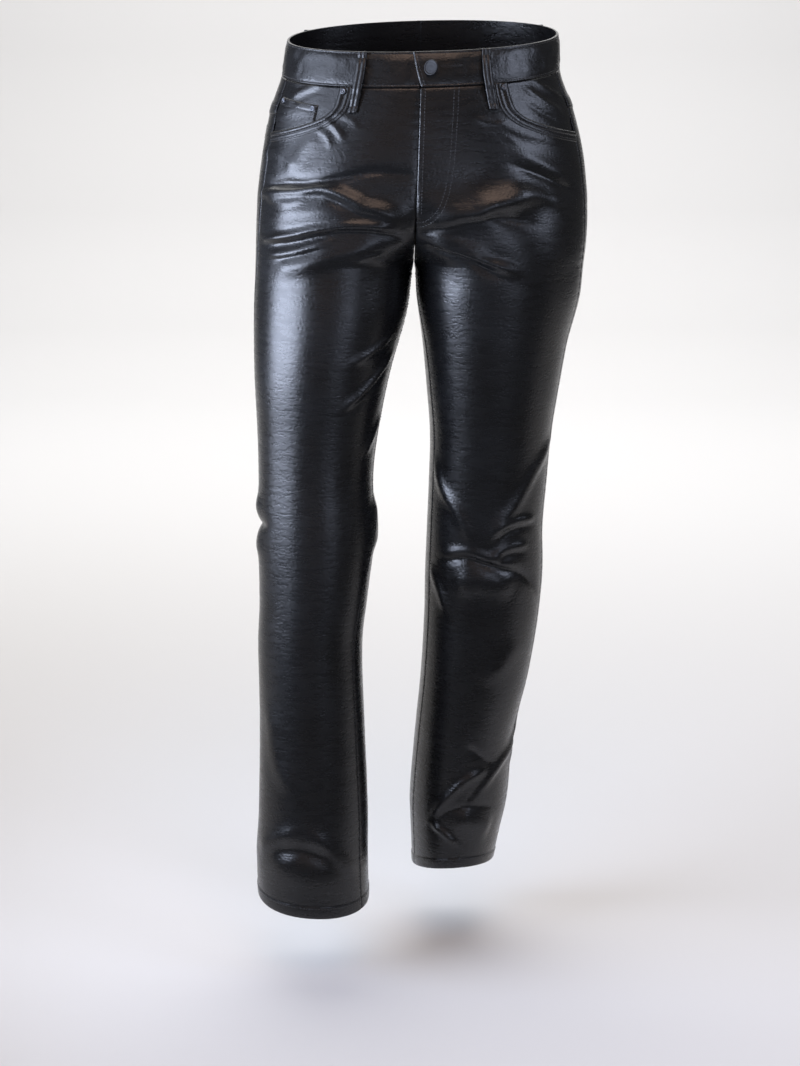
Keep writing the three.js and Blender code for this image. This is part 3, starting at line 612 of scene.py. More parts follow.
def mouth_distance(side, z, angle):
    """Distance from the pocket's edge, positive in the opening, and the nearest place on it."""
    edge_z, edge_a = mouth_edge(side)
    shape = np.shape(z)
    flat_z, flat_a = np.ravel(z), np.ravel(angle)
    nearest = np.full(flat_z.shape, np.inf)
    best_z, best_a = np.zeros_like(nearest), np.zeros_like(nearest)
    sign = np.ones_like(nearest)
    for k in range(len(edge_z) - 1):
        step_z, step_a = edge_z[k + 1] - edge_z[k], (edge_a[k + 1] - edge_a[k]) * PER_DEGREE
        from_z, from_a = flat_z - edge_z[k], (flat_a - edge_a[k]) * PER_DEGREE
        share = np.clip((from_z * step_z + from_a * step_a) / (step_z**2 + step_a**2), 0, 1)
        distance = np.hypot(from_z - share * step_z, from_a - share * step_a)
        closer = distance < nearest
        nearest = np.where(closer, distance, nearest)
        sign = np.where(closer, np.sign(from_z * step_a - from_a * step_z), sign)
        best_z = np.where(closer, edge_z[k] + share * step_z, best_z)
        best_a = np.where(closer, edge_a[k] + share * step_a / PER_DEGREE, best_a)
    return (nearest * sign).reshape(shape), best_z.reshape(shape), best_a.reshape(shape)


def cut_uvs(side, z, angle):
    return np.stack([angle * PER_DEGREE * side_sign(side), z + 0 * angle], -1)


def piece_wall(name, side, z, angle, out, into, keep=None, skin=True, own_side=True):
    """A wall on the garment's surface, from an outer face to an inner one, with its flat cut."""
    walls = [placed(side, z, angle, lift, skin) for lift in (out, into)]
    if own_side:
        walls = [on_side(side, wall) for wall in walls]
    return facing_outward(name, side, *walls, keep, cut_uvs(side, z, angle))


def inner_face(level):
    """How far in a panel's inner face lies: deeper behind the turned-up hem."""
    return -WALL - 1.1 * ease((-941 - level) / 2)


def opening_cells(inside):
    """The cells to keep round an opening, and the points in it that move to its edge."""
    cell = inside[:-1, :-1].astype(int) + inside[1:, :-1] + inside[:-1, 1:] + inside[1:, 1:]
    keep = cell < 3
    part_cell = keep & (cell > 0)
    snap = np.zeros(inside.shape, bool)
    rows, columns = keep.shape
    for di in (0, 1):
        for dj in (0, 1):
            snap[di : di + rows, dj : dj + columns] |= part_cell
    return keep, snap & inside


def front_panel(side):
    levels, columns = body_levels(), with_edges(64)
    z, angle = grid_places(side, "front", levels, columns)
    level = np.broadcast_to(levels[:, None], z.shape)
    distance, edge_z, edge_a = mouth_distance(side, z, angle)
    near_top = level > -90
    keep, snap = opening_cells((distance > 0) & near_top)
    z, angle = np.where(snap, edge_z, z), np.where(snap, edge_a, angle)
    lift = hem_lift(level)
    if side == "left":
        share = np.broadcast_to(columns[None, :], z.shape)
        lift = lift + FLY_RAISE * ease(1 - share / 0.14) * ease((level + 160) / 12)
    band = ease((11 + distance) / 2) * near_top
    lift = lift + 0.35 * band
    top_fold = -0.5 * ease((level + 3) / 3)
    into = lift + inner_face(level)
    return piece_wall(f"front_panel_{side}", side, z, angle, lift + top_fold, into, keep)


def back_panel(side):
    levels = body_levels()
    levels = np.concatenate([[-YOKE_SIDE], levels[levels < -YOKE_SIDE - 1]])
    z, angle = grid_places(side, "back", levels, with_edges(64, width=220.0))
    level = np.broadcast_to(levels[:, None], z.shape)
    return piece_wall(f"back_panel_{side}", side, z, angle, hem_lift(level), inner_face(level))


def yoke_panel(side):
    levels = np.concatenate([np.linspace(0, -30, 12), [-33, -35, -36.3, -37.2, -38]])
    z, angle = grid_places(side, "back", levels, with_edges(64, width=220.0))
    level = np.broadcast_to(levels[:, None], z.shape)
    overlap = 0.9 * ease((-24 - level) / 4) - 0.6 * ease((-36 - level) / 2)
    z = z - 0.8 * (level < -37.9)
    into = -WALL + 0.15 + overlap * 0.6
    return piece_wall(f"back_yoke_{side}", side, z, angle, 0.25 + overlap, into)


def facing_lift(side, z, angle):
    """The facing lies under the front panel and comes up level in the opening."""
    distance = mouth_distance(side, z, angle)[0]
    return -WALL - 0.5 + (WALL + 0.1) * ease((distance - 5) / 18)


FACING_FOLDS = {
    "right": [
        ("ridge", 3.2, 1.4, [(-27, 152), (-16, 138), (-7, 127)]),
        ("trough", 3, -0.8, [(-36, 150), (-25, 138), (-16, 128)]),
    ],
    "left": [
        ("ridge", 3.6, 1.6, [(-46, 156), (-30, 142), (-12, 130)]),
        ("ridge", 3, 1.2, [(-30, 162), (-18, 148), (-4, 136)]),
        ("trough", 3.2, -1.1, [(-54, 150), (-44, 140), (-28, 129)]),
    ],
}


def facing_relief(side, z, angle):
    height = np.zeros(np.shape(z))
    for kind, width, rise, places in FACING_FOLDS[side]:
        line_z, line_a = curve_through(places, 16)
        distance, along = nearest_on(line_z, line_a, z, angle, PER_DEGREE)
        height += rise * ease(np.minimum(along, 1 - along) / 0.3) * fold_profile(kind, distance, width)
    return height * ease(mouth_distance(side, z, angle)[0] / 6)


def pocket_facing(side):
    levels = np.linspace(0, -84, 44)
    columns = np.linspace(0.34, 1, 52)
    z, angle = grid_places(side, "front", levels, columns)
    lift = facing_lift(side, z, angle) + facing_relief(side, z, angle)
    return piece_wall(f"facing_{side}", side, z, angle, lift, lift - 1.1)


COIN = {"inner_angle": 130, "outer_angle": 157, "inner_top": -34.5, "outer_top": -26}


def coin_top(angle):
    share = (angle - COIN["inner_angle"]) / (COIN["outer_angle"] - COIN["inner_angle"])
    return COIN["inner_top"] + (COIN["outer_top"] - COIN["inner_top"]) * share


def coin_lift(z, angle):
    return facing_lift("right", z, angle) + facing_relief("right", z, angle) + 0.3


def coin_pocket():
    side = "right"
    edge_z, edge_a = mouth_edge(side)
    across, down = np.meshgrid(with_edges(22, width=48.0), with_edges(16, width=28.0))
    angle = COIN["inner_angle"] + (COIN["outer_angle"] - COIN["inner_angle"]) * across
    order = np.argsort(edge_a)
    foot = np.interp(angle, edge_a[order], edge_z[order]) + 0.5
    z = coin_top(angle) + (foot - coin_top(angle)) * down
    from_top = coin_top(angle) - z
    from_side = (angle - COIN["inner_angle"]) * PER_DEGREE
    round_off = -1.0 * np.exp(-((from_top / 0.9) ** 2)) - 1.0 * np.exp(-((from_side / 0.9) ** 2))
    trough = -0.5 * np.exp(-(((from_top - 2) / 0.8) ** 2))
    trough = trough - 0.5 * np.exp(-(((from_top - 7.5) / 0.9) ** 2))
    lift = coin_lift(z, angle)
    out = lift + 1.2 + round_off + trough
    return piece_wall("coin_pocket_patch", side, z, angle, out, lift, own_side=False)


def mouth_line(side, below_waist, before_seam):
    """The part of a mouth's edge that shows, with the unit step away from it at each place."""
    edge_z, edge_a = mouth_edge(side, 120)
    _, seam, _ = seam_angles(side, edge_z)
    shown = (edge_z < waist_at(side, edge_a) - below_waist) & (edge_a < seam - before_seam)
    edge_z, edge_a = edge_z[shown], edge_a[shown]
    step_z, step_a = np.gradient(edge_z), np.gradient(edge_a) * PER_DEGREE
    size = np.hypot(step_z, step_a)
    return edge_z, edge_a, -step_a / size, step_z / size


def beside_mouth(line, inland):
    edge_z, edge_a, away_z, away_a = line
    return edge_z + away_z * inland, edge_a + away_a * inland / PER_DEGREE


# Distances in from a pocket's edge, and how far out the turned edge stands there: a high roll
# with a groove for the stitches, then a flat with a second groove
MOUTH_PROFILE = [
    (0.6, -1.6), (0.0, -1.2), (-0.3, -0.2), (-0.1, 0.8), (0.5, 1.6), (1.3, 2.1), (2.4, 2.35),
    (3.6, 2.1), (4.4, 1.5), (4.9, 0.85), (5.5, 0.8), (6.3, 1.1), (7.4, 1.2), (8.1, 0.9),
    (8.7, 0.5), (9.3, 0.8), (10.2, 0.85), (10.9, 0.5), (11.3, -0.4),
]  # fmt: skip


def mouth_band(side):
    """The turned edge of a pocket mouth, a rolled band with a trough under each row of stitches."""
    line = mouth_line(side, 0.3, 0.4)
    outer = [placed(side, *beside_mouth(line, inland), out + 0.1) for inland, out in MOUTH_PROFILE]
    first, last = MOUTH_PROFILE[0][0], MOUTH_PROFILE[-1][0]
    under = []
    for share in np.linspace(0, 1, len(MOUTH_PROFILE)):
        inland = first + (last - first) * share
        under.append(placed(side, *beside_mouth(line, inland), -1.65 + 1.2 * share))
    return facing_outward(f"mouth_band_{side}", side, np.stack(outer, 1), np.stack(under, 1))


def back_pocket_place(side, across, down):
    """Height and angle of a place on a back pocket: across from -1 to 1, down from 0 to 1."""
    middle_z, middle_a = grid_places(side, "back", [BACK_POCKET_TOP], [0.53])
    width = np.interp(down, [0, 0.5, 0.86, 1], [1, 0.94, 0.86, 0.86])
    point = np.clip((down - 0.86) / 0.14, 0, 1)
    reach = across * width * BACK_POCKET_WIDTH / 2
    fall = down * BACK_POCKET_HEIGHT - point * np.abs(across) * 0.14 * BACK_POCKET_HEIGHT
    z = middle_z[0, 0] - fall - reach * BACK_POCKET_SLANT
    return z, middle_a[0, 0] + reach / 1.9


def back_pocket(side):
    shares = with_edges(40, width=BACK_POCKET_WIDTH) * 2 - 1
    across, down = np.meshgrid(shares, with_edges(44, width=BACK_POCKET_HEIGHT))
    z, angle = back_pocket_place(side, across, down)
    from_side = (1 - np.abs(across)) * BACK_POCKET_WIDTH / 2
    from_top, from_foot = down * BACK_POCKET_HEIGHT, (1 - down) * BACK_POCKET_HEIGHT
    edge = np.minimum(np.minimum(from_side, from_foot), from_top)
    lift = 1.5 - 0.9 * np.exp(-((edge / 0.9) ** 2))
    lift = lift + 0.5 * ease((16 - from_top) / 2)
    for stitch in (2.2, 8.2):
        lift = lift - 0.25 * np.exp(-(((np.minimum(from_side, from_foot) - stitch) / 0.8) ** 2))
    return piece_wall(f"back_pocket_patch_{side}", side, z, angle, 0.4 + lift, 0.3, own_side=False)


def band_profile(up, angle):
    """The band's relief: two gutters at the stitched edges, padded and lightly creased between."""
    puff = BAND_PUFF * ease((up - 3) / 7) * ease((BAND_HEIGHT - 3 - up) / 7)
    gutters = -0.45 * np.exp(-((up - BAND_STITCH) ** 2))
    gutters = gutters - 0.45 * np.exp(-((up - BAND_HEIGHT + BAND_STITCH) ** 2))
    edges = -0.9 * ease((0.9 - up) / 0.9) - 0.9 * ease((up - BAND_HEIGHT + 0.9) / 0.9)
    along = angle * PER_DEGREE
    creases = 0.45 * soft_noise(along / 11, up / 9 + 0.25 * along / 11, 21)
    small = 0.16 * soft_noise(along / 4.5, up / 13, 22)
    return puff + gutters + edges + (creases + small) * ease(up / 9) * ease((BAND_HEIGHT - up) / 9)


def band_place(side, up, angle):
    return waist_at(side, angle) + up


def band_end(side, up):
    """The angle of the band's front end. The left end laps over, and slants a little at the top."""
    return 90 - 2.6 * up / BAND_HEIGHT if side == "left" else 90 + 0 * up


def band_lift(side, up, angle):
    """The band's outer face: the left end stands up over the right end, which dips under it."""
    lift = BAND_PROUD + band_profile(up, angle)
    end = (angle - band_end(side, up)) * PER_DEGREE * 1.6
    if side == "right":
        return lift - 1.3 * ease((16 - end) / 12)
    lift = lift + 1.1 * ease((34 - end) / 20)
    lift = lift - 0.6 * np.exp(-(((end - 3.2) / 1.0) ** 2)) - 1.1 * np.exp(-((end / 0.9) ** 2))
    return lift - 0.6 * np.exp(-(((end - 9) / 4.0) ** 2)) * np.exp(-(((up - 18) / 9) ** 2))


def waistband(side):
    rows = np.concatenate([[0.15, 0.6, 1.1, 1.7, 2.4, 3.1, 4], np.linspace(5.5, 32.5, 14)])
    rows = np.concatenate([rows, [34, 34.9, 35.6, 36.3, 37, 37.5, 37.9]])
    shares = with_edges(190, fine=(0.4, 0.9, 1.5, 2.2, 2.9, 3.7), width=400.0)
    up, share = np.meshgrid(rows, shares, indexing="ij")
    start = band_end(side, up)
    angle = start + (270 - start) * share
    z = band_place(side, up, angle)
    lift = band_lift(side, up, angle)
    into = BAND_PROUD - BAND_WALL
    return piece_wall(f"band_{side}", side, z, angle, lift, into, skin=False, own_side=False)


def band_underlap():
    """The right end of the band, which runs on under the left end."""
    lap = UNDERLAP / (PER_DEGREE * 1.35)
    rows, columns = np.linspace(0.6, BAND_HEIGHT - 0.6, 12), np.linspace(90 - lap, 95, 20)
    up, angle = np.meshgrid(rows, columns, indexing="ij")
    z = band_place("right", up, angle)
    out = BAND_PROUD - BAND_WALL - 0.9
    outside = placed("right", z, angle, out, False)
    inside = placed("right", z, angle, out - BAND_WALL * 0.75, False)
    return facing_outward("band_underlap", "right", outside, inside)


BELT_LOOPS = {
    "belt_loop_front_right": ("right", 113),
    "belt_loop_front_left": ("left", 115),
    "belt_loop_back_right": ("right", 212),
    "belt_loop_back_left": ("left", 210),
    "belt_loop_centre": ("right", 270),
}
LOOP_RISE = {
    "share": [0, 0.1, 0.17, 0.28, 0.45, 0.62, 0.78, 0.88, 0.94, 1],
    "rise": [0, 0, 0.75, 1, 1, 0.95, 0.75, 0.2, 0, 0],
}


def loop_seat(share):
    """How far a loop's under face stands off the plain surface, from its top end to its bottom."""
    on_band = BAND_PROUD + BAND_PUFF + 0.5
    seat = on_band + (0.7 - on_band) * ease((share - 0.6) / 0.1)
    bow = np.interp(share, LOOP_RISE["share"], LOOP_RISE["rise"])
    smooth = sum(np.interp(share + d, LOOP_RISE["share"], LOOP_RISE["rise"]) for d in (-0.03, 0.03))
    return seat + LOOP_GAP * (bow + smooth) / 3


def loop_place(side, angle, share, across):
    length = BAND_HEIGHT + LOOP_TAIL
    z = waist_at(side, angle) + BAND_HEIGHT - 0.5 - share * length
    step = surface(side, z, angle + 0.5) - surface(side, z, angle - 0.5)
    per_degree = np.linalg.norm(step, axis=-1)
    return z, angle + across * LOOP_WIDTH / 2 / per_degree


def loop_lift(side, angle, share):
    z, _ = loop_place(side, angle, share, 0 * share)
    return loop_seat(share) + fold_height(side, z, z * 0 + angle)


def loop_fold(share):
    """The extra layer where a loop's ends are turned under."""
    return 0.9 * ease((0.105 - share) / 0.02) + 0.9 * ease((share - 0.9) / 0.02)


def belt_loop(name, side, angle):
    stations = with_edges(58, fine=(0.4, 0.9, 1.6), width=65.0)
    places = with_edges(21, fine=(0.25, 0.6), width=10.0) * 2 - 1
    share, across = np.meshgrid(stations, places, indexing="ij")
    z, turned = loop_place(side, angle, share, across)
    seat = loop_lift(side, angle, share)
    ridges = 0.95 * np.sin(2 * np.pi * across) ** 2
    edges = -0.8 * ease((np.abs(across) - 0.86) / 0.14)
    ends = -0.9 * ease((0.012 - share) / 0.012) - 0.9 * ease((share - 0.988) / 0.012)
    thickness = LOOP_WALL * 0.75 + ridges + edges + loop_fold(share) + ends
    outside = placed(side, z, turned, seat + thickness, False)
    inside = placed(side, z, turned, seat, False)
    return facing_outward(f"{name}_strip", side, outside, inside)


# Turned pieces


def turned_piece(name, profile, segments, base, axis):
    """A lathe form on an axis, from rows of radius and height in millimetres."""
    points, faces = [], []
    for k in range(segments):
        turn = 2 * math.pi * k / segments
        for radius, height in profile[1:-1]:
            points.append((radius * math.cos(turn), radius * math.sin(turn), height))
    rows = len(profile) - 2
    points += [(0, 0, profile[0][1]), (0, 0, profile[-1][1])]
    foot, top = len(points) - 2, len(points) - 1
    for k in range(segments):
        here, following = k * rows, ((k + 1) % segments) * rows
        faces.append((foot, following, here))
        faces.append((top, here + rows - 1, following + rows - 1))
        for r in range(rows - 1):
            faces.append((here + r, following + r, following + r + 1, here + r + 1))
    stand = Vector((0, 0, 1)).rotation_difference(Vector(axis))
    moved = [tuple(stand @ Vector(p) + Vector(base)) for p in points]
    return new_object(name, moved, faces)


def set_on(name, profile, segments, side, z, angle, out, lean=0.0):
    """A turned piece standing on the surface, turned about the upright by an angle."""
    place_z, place_a = np.array(float(z)), np.array(float(angle))
    base = placed(side, place_z, place_a, out)
    x, y, up = normals(side, place_z, place_a)
    cos, sin = math.cos(lean), math.sin(lean)
    return turned_piece(name, profile, segments, base, (x * cos - y * sin, x * sin + y * cos, up))


def button():
    """A shank button with a raised rim and a shallow ring in its face."""
    r = BUTTON_DIAMETER / 2
    profile = [
        (0, 0), (3.2, 0), (3.2, 3.4), (r - 1.2, 3.5), (r - 0.4, 3.8), (r, 4.3), (r, 5.3),
        (r - 0.3, 5.9), (r - 0.9, 6.2), (r - 1.5, 6.1), (r - 1.9, 5.75), (r - 2.4, 5.6),
        (r - 3.2, 5.72), (r - 3.7, 5.72), (r - 4.3, 5.6), (2.4, 5.68), (1.2, 5.76), (0, 5.8),
    ]  # fmt: skip
    lean = -math.radians(BUTTON_LEAN)
    return set_on("shank_button", profile, 64, "left", 5, 94, BAND_PROUD + 0.8 + 1.5, lean)


def rivet(name, side, z, angle, out):
    """A pressed rivet with a small nib in its dish."""
    r = RIVET_DIAMETER / 2
    profile = [
        (0, -0.2), (r, -0.2), (r + 0.1, 0.2), (r - 0.15, 0.6), (r * 0.8, 0.95), (r * 0.66, 0.95),
        (r * 0.55, 0.65), (r * 0.4, 0.55), (r * 0.3, 0.75), (r * 0.18, 1.05), (0, 1.1),
    ]  # fmt: skip
    return set_on(name, profile, 32, side, z, angle, out)


# Stitches, made along rows of points by Geometry Nodes


def link(tree, source, output, target, field):
    tree.links.new(source.outputs[output], target.inputs[field])


def add(tree, kind, settings=None, values=None):
    node = tree.nodes.new(kind)
    for name, value in (settings or {}).items():
        setattr(node, name, value)
    for name, value in (values or {}).items():
        node.inputs[name].default_value = value
    return node


def stitch_tree():
    """Stitches along each row of edges: named sizes in, one plain mesh out."""
    tree = bpy.data.node_groups.new("thread_stitches", "GeometryNodeTree")
    face = tree.interface
    face.new_socket("Rows", in_out="INPUT", socket_type="NodeSocketGeometry")
    for name in ("Pitch", "Stitch length", "Thread width"):
        face.new_socket(name, in_out="INPUT", socket_type="NodeSocketFloat")
    face.new_socket("Thread", in_out="INPUT", socket_type="NodeSocketMaterial")
    face.new_socket("Stitches", in_out="OUTPUT", socket_type="NodeSocketGeometry")
    start, end = add(tree, "NodeGroupInput"), add(tree, "NodeGroupOutput")
    curve = add(tree, "GeometryNodeMeshToCurve")
    spots = add(tree, "GeometryNodeCurveToPoints", {"mode": "LENGTH"})
    bead = add(tree, "GeometryNodeMeshUVSphere", values={"Segments": 6, "Rings": 5, "Radius": 0.5})
    size = add(tree, "ShaderNodeCombineXYZ")
    shape = add(tree, "GeometryNodeTransform")
    jitter = add(tree, "FunctionNodeRandomValue", {"data_type": "FLOAT_VECTOR"}, {"Seed": 4})
    jitter.inputs["Min"].default_value = (0.9, 0.9, 0.86)
    jitter.inputs["Max"].default_value = (1.1, 1.1, 1.04)
    spread = add(tree, "GeometryNodeInstanceOnPoints")
    real = add(tree, "GeometryNodeRealizeInstances")
    paint = add(tree, "GeometryNodeSetMaterial")
    link(tree, start, "Rows", curve, "Mesh")
    link(tree, curve, "Curve", spots, "Curve")
    link(tree, start, "Pitch", spots, "Length")
    link(tree, start, "Thread width", size, "X")
    link(tree, start, "Thread width", size, "Y")
    link(tree, start, "Stitch length", size, "Z")
    link(tree, bead, "Mesh", shape, "Geometry")
    link(tree, size, "Vector", shape, "Scale")
    link(tree, spots, "Points", spread, "Points")
    link(tree, shape, "Geometry", spread, "Instance")
    link(tree, spots, "Rotation", spread, "Rotation")
    link(tree, jitter, "Value", spread, "Scale")
    link(tree, spread, "Instances", real, "Geometry")
    link(tree, real, "Geometry", paint, "Geometry")
    link(tree, start, "Thread", paint, "Material")
    link(tree, paint, "Geometry", end, "Stitches")
    return tree


def stitch_rows(name, tree, rows, thread, pitch=3.5, length=2.9, width=0.85):
    """One mesh of stitches along rows of points in millimetres."""
    points, edges = [], []
    for row in rows:
        first = len(points)
        points += [tuple(p) for p in np.asarray(row) * MM]
        edges += [(first + k, first + k + 1) for k in range(len(row) - 1)]
    mesh = bpy.data.meshes.new(name)
    mesh.from_pydata(points, edges, [])
    guide = put_in_scene(name + "_rows", mesh)
    modifier = guide.modifiers.new("stitches", "NODES")
    modifier.node_group = tree
    values = {"Pitch": pitch * MM, "Stitch length": length * MM, "Thread width": width * MM}
    values["Thread"] = thread
    for item in tree.interface.items_tree:
        if item.in_out == "INPUT" and item.name in values:
            modifier[item.identifier] = values[item.name]
    evaluated = guide.evaluated_get(bpy.context.evaluated_depsgraph_get())
    result = bpy.data.meshes.new_from_object(evaluated)
    guide.modifiers.remove(modifier)
    bpy.data.objects.remove(guide)
    result.name = name
    result.polygons.foreach_set("use_smooth", [True] * len(result.polygons))
    return put_in_scene(name, result)


# Each row of stitches beside a pocket mouth: distance in from the edge, and how far out it lies
MOUTH_STITCHES = ((4.95, 1.2), (8.7, 0.85))


def panel_row(side, z, angle, out):
    return placed(side, np.asarray(z, float), np.asarray(angle, float), out)


def mouth_rows(side):
    line = mouth_line(side, 1, 0.5)
    return [panel_row(side, *beside_mouth(line, inland), out) for inland, out in MOUTH_STITCHES]


# The fly's curved stitching, as heights and distances across from the centre line
FLY_CURVE = [(-12, 42), (-60, 41), (-105, 38.5), (-131, 34.5), (-148, 28), (-159, 19), (-165, 9), (-166, 2)]


def fly_rows():
    """The fly's J-shaped double row and the row along its open edge, on the wearer's left front."""
    rows = []
    line_z, line_d = curve_through(FLY_CURVE, 130)
    step_z, step_d = np.gradient(line_z), np.gradient(line_d)
    size = np.hypot(step_z, step_d)
    for inland in (0, 5):
        z = line_z - step_d / size * inland
        d = np.maximum(line_d + step_z / size * inland, 1.5)
        raised = FLY_RAISE * ease(1 - d / 22) * ease((z + 160) / 12)
        rows.append(panel_row("left", z, angle_from_centre("left", z, d), 0.2 + raised))
    z = np.linspace(-17, -150, 110)
    rows.append(panel_row("left", z, angle_from_centre("left", z, 5.5), 0.2 + FLY_RAISE * 0.75))
    return rows


def seam_side_rows(side):
    """Double rows beside the yoke seam and the back rise."""
    rows = []
    columns = np.linspace(0.01, 0.995, 150)
    for up in (2.2, 8.0):
        z, angle = grid_places(side, "back", [-YOKE_SIDE], columns)
        rows.append(panel_row(side, z[0] + up, angle[0], 0.95))
    if side == "left":
        for inland in (2.4, 8.2):
            levels = np.linspace(-42, -196, 120)
            z, _ = grid_places(side, "back", levels, [1.0])
            _, _, back = seam_angles(side, z[:, 0])
            rows.append(panel_row(side, z[:, 0], back - inland / PER_DEGREE, 0.2))
            z, _ = grid_places(side, "back", np.linspace(-2, -37, 30), [1.0])
            _, _, back = seam_angles(side, z[:, 0])
            rows.append(panel_row(side, z[:, 0], back - inland / PER_DEGREE, 0.5))
    return rows


def inseam_rows(side):
    z = np.linspace(-226, -935, 520)
    inner, _, _ = seam_angles(side, z)
    return [panel_row(side, z, inner + 2.2 / PER_DEGREE, 0.12)]


def hem_rows(side):
    rows = []
    for face in ("front", "back"):
        z, angle = grid_places(side, face, [-943.6], np.linspace(0.004, 0.996, 130))
        rows.append(panel_row(side, z[0], angle[0], 0.55))
    return rows


def back_pocket_rows(side):
    rows = []
    for inland in (2.2, 8.2):
        edge = 1 - inland / (BACK_POCKET_WIDTH / 2)
        foot = 1 - inland / BACK_POCKET_HEIGHT
        fall = np.linspace(0.015, foot, 90)
        down = np.concatenate([fall, np.full(60, foot), fall[::-1]])
        across = np.concatenate([np.full(90, -edge), np.linspace(-edge, edge, 60), np.full(90, edge)])
        z, angle = back_pocket_place(side, across, down)
        rows.append(placed(side, z, angle, 2.05))
    for fall in (12.5, 15):
        across = np.linspace(-0.97, 0.97, 90)
        z, angle = back_pocket_place(side, across, np.full(90, fall / BACK_POCKET_HEIGHT))
        rows.append(placed(side, z, angle, 2.5))
    return rows


def coin_rows():
    rows = []
    for fall in (2.0, 7.5):
        angle = np.linspace(COIN["inner_angle"] + 0.6, COIN["outer_angle"] - 0.5, 60)
        z = coin_top(angle) - fall
        rows.append(placed("right", z, angle, coin_lift(z, angle) + 1.0))
    for inland in (1.8, 5.2):
        z = np.linspace(COIN["inner_top"] - 1, -49, 40)
        angle = np.full(40, COIN["inner_angle"] + inland / PER_DEGREE)
        rows.append(placed("right", z, angle, coin_lift(z, angle) + 1.25))
    return rows


def band_rows(side):
    rows = []
    angle = np.linspace(91.2 if side == "left" else 90.4, 269.6, 420)
    for up in (BAND_STITCH, BAND_HEIGHT - BAND_STITCH):
        lift = band_lift(side, up, angle) + 0.12
        rows.append(placed(side, band_place(side, up, angle), angle, lift, False))
    if side == "left":
        up = np.linspace(BAND_STITCH, BAND_HEIGHT - BAND_STITCH, 40)
        end = band_end(side, up) + 1.15
        lift = band_lift(side, up, end) + 0.12
        rows.append(placed(side, band_place(side, up, end), end, lift, False))
    return rows


def loop_rows(side, angle):
    rows = []
    for across in (-0.5, 0, 0.5):
        share = np.linspace(0.02, 0.98, 90)
        z, turned = loop_place(side, angle, share, np.full(90, across))
        lift = loop_lift(side, angle, share) + LOOP_WALL * 0.75 + loop_fold(share) + 0.12
        rows.append(placed(side, z, turned, lift, False))
    for share in (0.035, 0.06, 0.945, 0.968):
        across = np.linspace(-0.8, 0.8, 24)
        place = np.full(24, share)
        z, turned = loop_place(side, angle, place, across)
        lift = loop_lift(side, angle, place) + LOOP_WALL * 0.75 + 0.9 + 0.25
        rows.append(placed(side, z, turned, lift, False))
    return rows


def buttonhole_rows():
    """Short stitches across both edges of a keyhole slit beside the button."""
    rows = []
    centre_up, from_angle, to_angle = 21.5, 96.8, 105.2
    for k in range(46):
        turn = 2 * math.pi * k / 46
        along = (from_angle + to_angle) / 2 + (to_angle - from_angle) / 2 * math.cos(turn)
        up = centre_up + 1.5 * math.sin(turn) * (1 + 0.5 * max(0.0, -math.cos(turn)))
        inner_up = centre_up + (up - centre_up) * 0.25
        inner_along = along - 0.35 * math.cos(turn)
        pair = []
        for place_up, place_along in ((up, along), (inner_up, inner_along)):
            height, angle = np.array([place_up]), np.array([place_along])
            z = band_place("left", height, angle)
            pair.append(placed("left", z, angle, band_lift("left", height, angle) + 0.1, False)[0])
        rows.append(pair)
    return rows


# Materials


def linear(hex_colour):
    """An sRGB hex colour as linear RGBA."""
    channels = [int(hex_colour[k : k + 2], 16) / 255 for k in (1, 3, 5)]
    low = [c / 12.92 if c <= 0.04045 else ((c + 0.055) / 1.055) ** 2.4 for c in channels]
    return (*low, 1.0)


def new_material(name):
    """A new material with its shader on its output."""
    material = bpy.data.materials.new(name)
    material.use_nodes = True
    tree = material.node_tree
    tree.nodes.clear()
    out = add(tree, "ShaderNodeOutputMaterial")
    shader = add(tree, "ShaderNodeBsdfPrincipled")
    link(tree, shader, "BSDF", out, "Surface")
    return material, tree, shader


def noise(tree, size_mm, detail, roughness=0.5):
    """A noise with cells of a size in millimetres."""
    values = {"Scale": 1000 / size_mm, "Detail": detail, "Roughness": roughness}
    return add(tree, "ShaderNodeTexNoise", values=values)


def two_tones(tree, shader, source, output, dark, light):
    """Base colour between two tones, led by a node."""
    tone = add(tree, "ShaderNodeMix", {"data_type": "RGBA"})
    tone.inputs[6].default_value = linear(dark)
    tone.inputs[7].default_value = linear(light)
    link(tree, source, output, tone, "Factor")
    tree.links.new(tone.outputs[2], shader.inputs["Base Color"])


def uneven_gloss(tree, shader, source, around, span, low=0.0, high=1.0):
    """Roughness around a value, led by a noise."""
    gloss = add(tree, "ShaderNodeMapRange", values={"From Min": low, "From Max": high})
    gloss.inputs["To Min"].default_value = around + span[0]
    gloss.inputs["To Max"].default_value = around + span[1]
    link(tree, source, "Fac", gloss, "Value")
    link(tree, gloss, "Result", shader, "Roughness")


